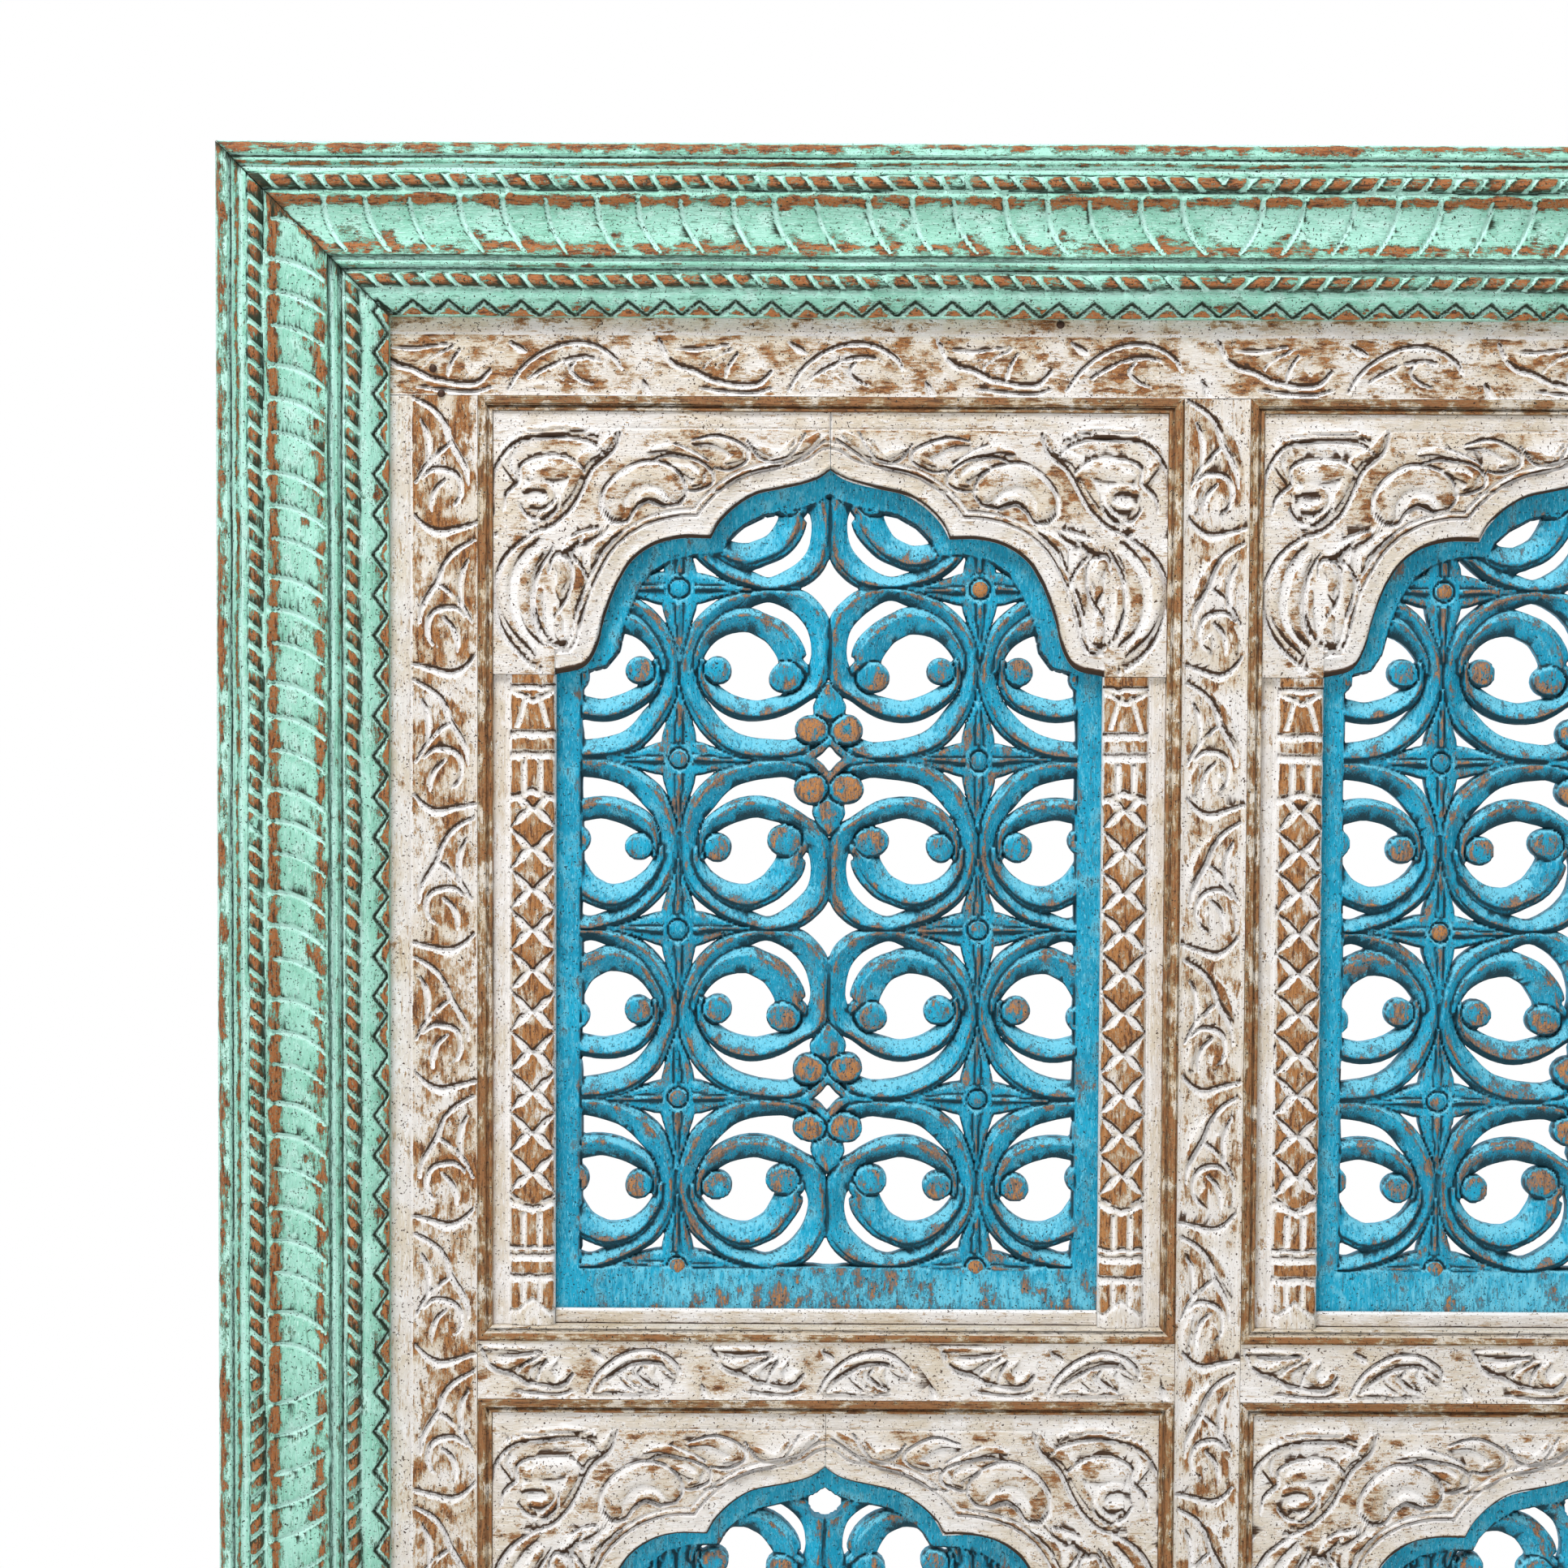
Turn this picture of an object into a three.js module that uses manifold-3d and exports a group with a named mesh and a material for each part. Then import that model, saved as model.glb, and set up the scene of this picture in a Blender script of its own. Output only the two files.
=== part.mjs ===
// Carved wooden wall panel: a moulded green frame around a whitewashed frame with four arched windows,
// each filled with a pierced blue lattice of scrolls. Millimetres.
// It is drawn flat, as on the bench: x across, y up the panel, z out of the wall, with the back at z = 0.
// The group at the end stands it up, so that the front faces -Y and the top is +Z.
import * as THREE from 'three';
import { mergeVertices } from 'three/addons/utils/BufferGeometryUtils.js';
import Module from 'manifold-3d';

const wasm = await Module();
wasm.setup();

// Overall size and the joints' fit
const panelWidth = 1216;
const panelHeight = 1500;
const jointGap = 0.3;

// Green frame: widths are measured inwards from the outer edge, heights outwards from the wall
const frameWidth = 105;
const frameEdgeHeight = 38;
const lipHeight = 45.5;
const lipWidth = 9;
const lipDrop = 2;
const quirkWidth = 2.5;
const fluteDepth = 3.5;
const ropeCentre = 25;
const ropeRadius = 5;
const ropeTop = 49;
const coveStart = 35;
const coveWidth = 32;
const coveRimHeight = 47.5;
const coveDepth = 5.5;
const innerRopeCentre = 84;
const innerRopeRadius = 4.5;
const innerRopeTop = 47;
const bandHeight = 43.5;
const zigzagWidth = 11;
const innerEdgeHeight = 38;
const innerEdgeWidth = 2;
const rebateWidth = 10;
const grooveDepth = 2.2;
const grooveWidth = 6;
const grooveLean = 14;
const leafPitchAcross = 82;
const leafPitchUp = 64;

// White frame
const stileWidth = 53;
const railWidth = 47;
const mullionWidth = 40;
const middleRailWidth = 36;
const boardThickness = 31;
const vineLeafHeight = 3;
const vineLeafPitch = 84;
const vineLeafLength = 62;
const vineLeafWidth = 20;
const vineLeafAngle = 20;
const plainMargin = 13;

// Windows
const mouldingWidth = 9;
const mouldingHeight = 33;
const mouldingInnerHeight = 29;
const sillWidth = 9.5;
const sillHeight = 21;
const archRise = 125.5;
const spandrelAboveApex = 35;
const spandrelThickness = 10;
const archRimWidth = 11;
const archRimThickness = 7;
const spandrelLeafHeight = 3;
const columnStripWidth = 10.5;
const columnBlockWidth = 28;
const columnBlockThickness = 12;
const columnShaftWidth = 25;
const columnFootHeight = 22;
const columnBaseHeight = 54;
const columnCapitalHeight = 52;

// Pierced lattice
const latticeBack = 3;
const latticeThickness = 14;
const latticeBorder = 15;
const latticeBottomBorder = 25;
const ringPitchAcross = 92.5;
const ringPitchUp = 105;
const lowerRingRows = 5;
const lowerRingsBelowApex = 16;
const smallestGap = 70;

const green = new THREE.MeshStandardMaterial({ color: 0x86dcbc, roughness: 0.7, metalness: 0 });
const white = new THREE.MeshStandardMaterial({ color: 0xe9e2d6, roughness: 0.8, metalness: 0 });
const wornWood = new THREE.MeshStandardMaterial({ color: 0xa0714a, roughness: 0.75, metalness: 0 });
const blue = new THREE.MeshStandardMaterial({ color: 0x12a0d0, roughness: 0.6, metalness: 0 });

const panel = new THREE.Group();

function addPiece(name, geometry, material, x = 0, y = 0, z = 0) {
  const mesh = new THREE.Mesh(geometry, material);
  mesh.name = name;
  mesh.position.set(x, y, z);
  panel.add(mesh);
  return mesh;
}

// Booleans: three.js geometry to a solid and back
function solidOf(geometry) {
  const bare = geometry.clone();
  for (const name of Object.keys(bare.attributes)) {
    if (name !== 'position') bare.deleteAttribute(name);
  }
  const merged = mergeVertices(bare, 1e-4);
  return new wasm.Manifold(new wasm.Mesh({
    numProp: 3,
    vertProperties: new Float32Array(merged.attributes.position.array),
    triVerts: new Uint32Array(merged.index.array),
  }));
}

function geometryOf(solid) {
  const mesh = solid.getMesh();
  const geometry = new THREE.BufferGeometry();
  geometry.setAttribute('position', new THREE.BufferAttribute(mesh.vertProperties, 3));
  geometry.setIndex(new THREE.BufferAttribute(mesh.triVerts, 1));
  geometry.computeVertexNormals();
  return geometry;
}

function shapeOf(points) {
  return new THREE.Shape(points.map(([x, y]) => new THREE.Vector2(x, y)));
}

function slab(points, bottom, top) {
  const geometry = new THREE.ExtrudeGeometry(shapeOf(points), { depth: top - bottom, bevelEnabled: false });
  return geometry.translate(0, 0, bottom);
}

function rectangle(left, bottom, right, top) {
  return [[left, bottom], [right, bottom], [right, top], [left, top]];
}

// A carved leaf: a low four-sided pyramid whose base is sunk a little into the board
function leaf(x, y, face, length, width, height, degrees) {
  const sunk = 0.5;
  const geometry = new THREE.ConeGeometry(0.5, height + sunk, 4, 1);
  geometry.rotateX(Math.PI / 2);
  geometry.scale(width, length, 1);
  geometry.rotateZ(THREE.MathUtils.degToRad(degrees));
  return geometry.translate(x, y, face + (height - sunk) / 2);
}

// A bar along x with 45 degree mitres: profile points are [distance from the outer edge, height]
function mitredBar(profile, length) {
  const bar = new THREE.ExtrudeGeometry(shapeOf(profile), { depth: length, bevelEnabled: false });
  const points = bar.attributes.position;
  const mitreGap = jointGap / Math.SQRT2;
  for (let i = 0; i < points.count; i += 1) {
    const inwards = points.getX(i);
    const height = points.getY(i);
    const reach = length / 2 - inwards - mitreGap;
    const side = points.getZ(i) > length / 2 ? -1 : 1;
    points.setXYZ(i, side * reach, -inwards, height);
  }
  bar.deleteAttribute('normal');
  bar.deleteAttribute('uv');
  return bar;
}

// Green frame
const coveEnd = coveStart + coveWidth;
const coveSlope = coveWidth / 5;
const innerFlat = innerRopeCentre - innerRopeRadius - quirkWidth / 2;
const zigzagStart = frameWidth - innerEdgeWidth - zigzagWidth;
const rebateHeight = boardThickness + jointGap;

function ropeProfile(centre, radius, top, foot) {
  return [
    [centre - radius, foot],
    [centre - radius * 0.5, top],
    [centre + radius * 0.5, top],
    [centre + radius, foot],
  ];
}

const frameProfile = [
  [0, 0],
  [frameWidth - rebateWidth, 0],
  [frameWidth - rebateWidth, rebateHeight],
  [frameWidth, rebateHeight],
  [frameWidth, innerEdgeHeight],
  [zigzagStart, bandHeight],
  ...ropeProfile(innerRopeCentre, innerRopeRadius, innerRopeTop, bandHeight).reverse(),
  [innerFlat, bandHeight],
  [coveEnd + quirkWidth, bandHeight],
  [coveEnd, coveRimHeight],
  [coveEnd - coveSlope, coveRimHeight - coveDepth],
  [coveStart + coveSlope, coveRimHeight - coveDepth],
  [coveStart, coveRimHeight],
  ...ropeProfile(ropeCentre, ropeRadius, ropeTop, lipHeight - fluteDepth / 2).reverse(),
  [lipWidth + quirkWidth, lipHeight - fluteDepth / 2],
  [lipWidth, lipHeight],
  [lipWidth / 3, lipHeight - lipDrop],
  [0, frameEdgeHeight],
];

// The lines between the leaves of the cove, each a V cut that leans towards the middle of the bar
function leafGroove(along, lean) {
  const reach = coveWidth - 2 * coveSlope - 1;
  const floor = coveRimHeight - coveDepth;
  const half = grooveWidth / 2;
  const section = [[0, floor - grooveDepth], [2 * half, floor + grooveDepth], [-2 * half, floor + grooveDepth]];
  const cutter = new THREE.ExtrudeGeometry(shapeOf(section), { depth: reach, bevelEnabled: false });
  cutter.translate(0, 0, -reach / 2);
  cutter.rotateX(Math.PI / 2);
  cutter.rotateZ(Math.atan2(lean, coveWidth));
  return cutter.translate(along, -(coveStart + coveWidth / 2), 0);
}

function frameMember(length, pitch) {
  let solid = solidOf(mitredBar(frameProfile, length));
  const room = length / 2 - coveEnd;
  for (let along = pitch / 2; along < room; along += pitch) {
    solid = solid.subtract(solidOf(leafGroove(-along, grooveLean)));
    solid = solid.subtract(solidOf(leafGroove(along, -grooveLean)));
  }
  return geometryOf(solid);
}

const across = frameMember(panelWidth, leafPitchAcross);
const upright = frameMember(panelHeight, leafPitchUp);
addPiece('frame_top', across, green, 0, panelHeight / 2);
addPiece('frame_bottom', across, green, 0, -panelHeight / 2).rotation.z = Math.PI;
addPiece('frame_left', upright, green, -panelWidth / 2).rotation.z = Math.PI / 2;
addPiece('frame_right', upright, green, panelWidth / 2).rotation.z = -Math.PI / 2;

// White frame: rails run between the stiles, the mullion between the rails, the middle rails beside it
const innerLeft = -panelWidth / 2 + frameWidth;
const innerTop = panelHeight / 2 - frameWidth;
const boardEdge = rebateWidth - jointGap;
const windowLeft = innerLeft + stileWidth;
const windowTop = innerTop - railWidth;

// Vine leaves sit on the carved band, alternately leaning to either side
function vineBoard(points, start, end, middle, isUpright) {
  let solid = solidOf(slab(points, 0, boardThickness));
  const count = Math.max(2, Math.round((end - start) / vineLeafPitch));
  const pitch = (end - start) / count;
  for (let k = 0; k < count; k += 1) {
    const along = start + pitch * (k + 0.5);
    const lean = (k % 2 ? 1 : -1) * vineLeafAngle;
    const length = Math.min(vineLeafLength, pitch * 0.8);
    const placed = isUpright
      ? leaf(middle, along, boardThickness, length, vineLeafWidth, vineLeafHeight, lean)
      : leaf(along, middle, boardThickness, length, vineLeafWidth, vineLeafHeight, 90 + lean);
    solid = solid.add(solidOf(placed));
  }
  return geometryOf(solid);
}

const boardLeft = innerLeft - boardEdge;
const boardTop = innerTop + boardEdge;
const stileBand = (innerLeft + plainMargin + windowLeft) / 2;
const railBand = (innerTop - plainMargin + windowTop) / 2;
const stile = rectangle(boardLeft, -windowTop + jointGap, windowLeft, windowTop - jointGap);
for (const [name, side] of [['stile_left', 1], ['stile_right', -1]]) {
  const outline = stile.map(([x, y]) => [side * x, y]);
  addPiece(name, vineBoard(outline, -windowTop, windowTop, side * stileBand, true), white);
}
for (const [name, side] of [['rail_top', 1], ['rail_bottom', -1]]) {
  const outline = rectangle(boardLeft, side * windowTop, -boardLeft, side * boardTop);
  addPiece(name, vineBoard(outline, innerLeft, -innerLeft, side * railBand, false), white);
}
const mullion = rectangle(-mullionWidth / 2, -windowTop + jointGap, mullionWidth / 2, windowTop - jointGap);
addPiece('mullion', vineBoard(mullion, -windowTop, windowTop, 0, true), white);
for (const [name, side] of [['rail_middle_left', -1], ['rail_middle_right', 1]]) {
  const near = mullionWidth / 2 + jointGap;
  const far = -windowLeft - jointGap;
  const [left, right] = side < 0 ? [-far, -near] : [near, far];
  const outline = rectangle(left, -middleRailWidth / 2, right, middleRailWidth / 2);
  addPiece(name, vineBoard(outline, left, right, 0, false), white);
}

// Windows: each opening holds a lattice, two spandrels, two columns and four mitred mouldings
const openingWidth = -windowLeft - mullionWidth / 2;
const openingHeight = windowTop - middleRailWidth / 2;
const sightHalf = openingWidth / 2 - mouldingWidth;
const archHalfSpan = sightHalf - columnStripWidth - columnBlockWidth;
const archTop = openingHeight / 2 - mouldingWidth;
const springing = archTop - spandrelAboveApex - archRise;
const sightBottom = -openingHeight / 2 + mouldingWidth;
const latticeFace = latticeBack + latticeThickness;
const boardBase = latticeFace + jointGap;

// Half of the cusped arch, from the springing to the apex, as shares of its half span and its rise
const archCurves = [
  [[-1, 0], [-0.824, 0.048], [-0.836, 0.319], [-0.776, 0.446]],
  [[-0.776, 0.446], [-0.74, 0.62], [-0.597, 0.685], [-0.436, 0.665]],
  [[-0.436, 0.665], [-0.394, 0.797], [-0.31, 0.892], [-0.179, 0.908]],
  [[-0.179, 0.908], [-0.107, 0.924], [-0.048, 0.94], [0, 1]],
];

function halfArch(halfSpan, rise, steps) {
  const points = [[-halfSpan, 0]];
  archCurves.forEach((curve, k) => {
    const controls = curve.map(([x, y]) => new THREE.Vector2(x * halfSpan, y * rise));
    const bezier = new THREE.CubicBezierCurve(...controls);
    for (const point of bezier.getPoints(steps[k]).slice(1)) points.push([point.x, point.y]);
  });
  return points;
}

// Lattice: every opening is a prism cut through the board, kept inside its border
const ringHalfWidth = ringPitchAcross / 2;
const latticeFoot = sightBottom + sillWidth + latticeBottomBorder;
const lowerRise = springing + archRise - lowerRingsBelowApex - latticeFoot;

// The openings of one ring, as shares of its half width and half height: the eye between the two
// scrolls, the slot outside the upper scroll, and the slot that runs down to the heart
const scrollEye = [
  [-0.66, 0.18], [-0.3, 0.47], [0.12, 0.42], [0.29, 0.05], [0.2, -0.27], [-0.42, -0.16], [-0.32, 0.1],
];
const upperSlot = [[-0.07, 0.8], [0.5, 0.53], [0.72, 0.1], [0.62, 0.67]];
const heartSlot = [[-0.52, -0.42], [0.03, -0.56], [0.76, -0.27], [0.51, -0.77], [-0.1, -0.74]];
const starGap = [[6, 26], [10, 11], [30, 4.5]];
const plainGap = [[-20, 0], [0, -21], [20, 0], [0, 21]];
const heartGap = [[-9, 0], [0, -9], [9, 0], [0, 9]];

function prism(points, x, y, scaleX, scaleY) {
  const placed = points.map(([px, py]) => [x + px * scaleX, y + py * scaleY]);
  return solidOf(slab(placed, -1, latticeFace + 1));
}

// Rows of rings are counted from the foot. heartsUp: hearts join the first row to the second
function latticeBoard(pitchUp, heartsUp) {
  const inset = archHalfSpan - latticeBorder;
  const border = halfArch(inset, archRise - latticeBorder, [2, 2, 2, 1]);
  const right = border.slice(0, -1).reverse().map(([x, y]) => [-x, y]);
  const arch = [...border, ...right].map(([x, y]) => [x, y + springing]);
  const region = solidOf(slab([[-inset, latticeFoot], ...arch, [inset, latticeFoot]], -1, latticeFace + 1));
  const holes = [];
  for (let row = 0; row < 5; row += 1) {
    const y = latticeFoot + pitchUp * (row + 0.5);
    const isUp = (row % 2 === 0) === heartsUp;
    const scaleY = ((isUp ? -1 : 1) * pitchUp) / 2;
    for (const column of [-1.5, -0.5, 0.5, 1.5]) {
      const x = column * ringPitchAcross;
      const scaleX = (column === -0.5 || column === 1.5 ? 1 : -1) * ringHalfWidth;
      const openings = Math.abs(column) < 1 ? [scrollEye, upperSlot, heartSlot] : [scrollEye];
      for (const opening of openings) holes.push(prism(opening, x, y, scaleX, scaleY));
    }
    const junction = y + pitchUp / 2;
    holes.push(prism(isUp ? heartGap : plainGap, 0, junction, 1, 1));
    for (const side of [-1, 1]) {
      for (const flipX of [-1, 1]) {
        holes.push(prism(starGap, side * ringPitchAcross, junction, flipX, -1));
        holes.push(prism(starGap, side * ringPitchAcross, junction - pitchUp, flipX, 1));
      }
    }
  }
  const least = smallestGap * (latticeFace + 2);
  const kept = holes.map((hole) => hole.intersect(region)).filter((hole) => hole.volume() > least);
  const half = openingWidth / 2 - jointGap;
  const top = openingHeight / 2 - jointGap;
  const board = solidOf(slab(rectangle(-half, -top, half, top), latticeBack, latticeFace));
  return geometryOf(board.subtract(wasm.Manifold.union(kept)));
}

// Spandrel: a board with a lower rim along the arch and a carved field above it
// Its leaves: place as shares of the half span and rise, length and width as shares of the rise, and turn
const spandrelLeaves = [
  [-1.05, 0.95, 0.37, 0.19, 20],
  [-0.66, 0.98, 0.4, 0.18, 100],
  [-0.34, 1.12, 0.43, 0.12, 104],
  [-1.12, 0.36, 0.53, 0.17, -6],
];

function spandrel(side) {
  const outer = sightHalf - jointGap;
  const rimArch = halfArch(archHalfSpan, archRise, [3, 2, 2, 1]);
  const apex = archTop - springing - jointGap;
  const seam = jointGap / 2;
  const outline = [[-outer, 0], ...rimArch, [0, apex], [-outer, apex]].map(([x, y]) => [x - seam, y]);
  const fieldArch = halfArch(archHalfSpan + archRimWidth, archRise + archRimWidth, [2, 2, 2, 1]);
  const field = [[-outer, 0], ...fieldArch, [0, apex], [-outer, apex]].map(([x, y]) => [x - seam, y]);
  let solid = solidOf(slab(outline, boardBase, boardBase + archRimThickness));
  solid = solid.add(solidOf(slab(field, boardBase + 1, boardBase + spandrelThickness)));
  for (const [x, y, length, width, degrees] of spandrelLeaves) {
    const face = boardBase + spandrelThickness;
    const place = [x * archHalfSpan, y * archRise, face, length * archRise, width * archRise];
    solid = solid.add(solidOf(leaf(...place, spandrelLeafHeight, degrees)));
  }
  const geometry = geometryOf(solid);
  return side < 0 ? geometry : mirrored(geometry);
}

function mirrored(geometry) {
  const copy = geometry.clone().scale(-1, 1, 1);
  const index = copy.index.array;
  for (let i = 0; i < index.length; i += 3) [index[i], index[i + 1]] = [index[i + 1], index[i]];
  copy.computeVertexNormals();
  return copy;
}

// Column: a half-round shaft between a capital and a base, beside a plain strip
function column(side) {
  const outer = sightHalf - jointGap;
  const inner = archHalfSpan;
  const bottom = sightBottom + jointGap;
  const top = springing - jointGap;
  const middle = inner + columnBlockWidth / 2;
  const strip = rectangle(-outer, bottom, -inner, top);
  let solid = solidOf(slab(strip, boardBase, boardBase + archRimThickness));
  const shaftBottom = bottom + columnBaseHeight;
  const shaftTop = top - columnCapitalHeight;
  const shaftShare = columnShaftWidth / columnBlockWidth;
  const collarShare = (1 + shaftShare) / 2;
  const blocks = [
    [bottom, bottom + columnFootHeight, 1],
    [bottom + columnFootHeight, shaftBottom, collarShare],
    [shaftBottom, shaftTop, shaftShare],
    [shaftTop, top, 1],
  ];
  for (const [from, to, share] of blocks) {
    const half = (columnBlockWidth * share) / 2;
    const high = columnBlockThickness * share;
    const section = [[-half, 0], [-half * 0.7, high * 0.7], [0, high], [half * 0.7, high * 0.7], [half, 0]];
    const geometry = new THREE.ExtrudeGeometry(shapeOf(section), { depth: to - from, bevelEnabled: false });
    geometry.rotateX(Math.PI / 2);
    geometry.translate(-middle, to, boardBase + 0.5);
    solid = solid.add(solidOf(geometry));
  }
  const geometry = geometryOf(solid);
  return side < 0 ? geometry : mirrored(geometry);
}

// Moulding: a sloping bar, mitred at both ends; the bottom one carries the sill
const mouldingProfile = [
  [0, boardBase],
  [mouldingWidth - jointGap, boardBase],
  [mouldingWidth - jointGap, mouldingInnerHeight],
  [mouldingWidth * 0.45, mouldingHeight],
  [0, mouldingHeight],
];

function sillBar() {
  const half = archHalfSpan - jointGap;
  const foot = -mouldingWidth + 2 * jointGap;
  const bar = solidOf(mitredBar(mouldingProfile, openingWidth - 2 * jointGap));
  const ledge = slab(rectangle(-half, foot - sillWidth, half, foot), boardBase, sillHeight);
  return geometryOf(bar.add(solidOf(ledge)));
}

const mouldingAcross = mitredBar(mouldingProfile, openingWidth - 2 * jointGap);
const mouldingUp = mitredBar(mouldingProfile, openingHeight - 2 * jointGap);
const windowX = mullionWidth / 2 + openingWidth / 2;
const windowY = middleRailWidth / 2 + openingHeight / 2;
const halfAcross = openingWidth / 2 - jointGap;
const halfUp = openingHeight / 2 - jointGap;
const tiers = [['upper', 1, ringPitchUp, true], ['lower', -1, lowerRise / lowerRingRows, false]];
for (const [tier, sideY, pitchUp, heartsUp] of tiers) {
  for (const [hand, sideX] of [['left', -1], ['right', 1]]) {
    const name = `${tier}_${hand}`;
    const x = sideX * windowX;
    const y = sideY * windowY;
    addPiece(`lattice_${name}`, latticeBoard(pitchUp, heartsUp), blue, x, y);
    for (const [edge, side] of [['a', -1], ['b', 1]]) {
      addPiece(`spandrel_${name}_${edge}`, spandrel(side), white, x, y + springing);
      addPiece(`column_${name}_${edge}`, column(side), white, x, y);
    }
    addPiece(`moulding_${name}_top`, mouldingAcross, wornWood, x, y + halfUp);
    addPiece(`moulding_${name}_sill`, sillBar(), wornWood, x, y - halfUp).rotation.z = Math.PI;
    addPiece(`moulding_${name}_left`, mouldingUp, wornWood, x - halfAcross, y).rotation.z = Math.PI / 2;
    addPiece(`moulding_${name}_right`, mouldingUp, wornWood, x + halfAcross, y).rotation.z = -Math.PI / 2;
  }
}

panel.rotation.x = Math.PI / 2;

export default panel;
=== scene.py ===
import math
import bpy
import numpy as np
from mathutils import Matrix


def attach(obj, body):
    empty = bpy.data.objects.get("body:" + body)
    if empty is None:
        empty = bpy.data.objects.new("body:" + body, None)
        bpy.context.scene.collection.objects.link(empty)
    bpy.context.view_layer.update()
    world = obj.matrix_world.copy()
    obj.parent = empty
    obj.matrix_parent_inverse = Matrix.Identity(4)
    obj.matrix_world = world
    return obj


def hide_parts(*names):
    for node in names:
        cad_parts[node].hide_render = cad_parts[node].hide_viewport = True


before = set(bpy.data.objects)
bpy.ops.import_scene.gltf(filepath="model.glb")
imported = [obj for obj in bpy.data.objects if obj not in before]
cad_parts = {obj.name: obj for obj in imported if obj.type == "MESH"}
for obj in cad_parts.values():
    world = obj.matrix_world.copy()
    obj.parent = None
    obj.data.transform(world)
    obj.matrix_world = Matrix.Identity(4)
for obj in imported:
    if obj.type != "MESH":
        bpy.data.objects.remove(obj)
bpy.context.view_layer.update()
scene = bpy.context.scene

# View: the panel's top left quarter, seen square on from about two metres, from just inside its left edge.
sight = bpy.data.cameras.new("view")
sight.lens = 74.53
sight.sensor_width = 36
camera = bpy.data.objects.new("view", sight)
scene.collection.objects.link(camera)
turn = Matrix.Rotation(math.radians(0.1), 4, "Z")
turn = turn @ Matrix.Rotation(math.radians(90 - 2.584), 4, "X")
turn = turn @ Matrix.Rotation(math.radians(0.27), 4, "Z")
camera.matrix_world = Matrix.Translation((-0.2591, -2.0126, 0.4516)) @ turn
scene.camera = camera


# White frame: mango-wood stiles, rails and muntins, 31 mm thick, joined square and nailed at the corners.
# A vine of curled leaves is cut in the face with gouges; limewash was brushed on and rubbed back, so it
# stays in the cuts and the wood shows on the raised leaves.

def linear(hex_colour):
    parts = [int(hex_colour[k:k + 2], 16) / 255 for k in (1, 3, 5)]
    return [p / 12.92 if p <= 0.04045 else ((p + 0.055) / 1.055) ** 2.4 for p in parts] + [1]


def add(tree, kind, links=(), **settings):
    """Adds a node, sets its properties and input values, and links its inputs from (input, output) pairs."""
    node = tree.nodes.new(kind)
    for name, value in settings.items():
        if hasattr(node, name):
            setattr(node, name, value)
        else:
            node.inputs[int(name[1:])].default_value = value
    for socket, source in links:
        tree.links.new(source, node.inputs[socket])
    return node


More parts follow.
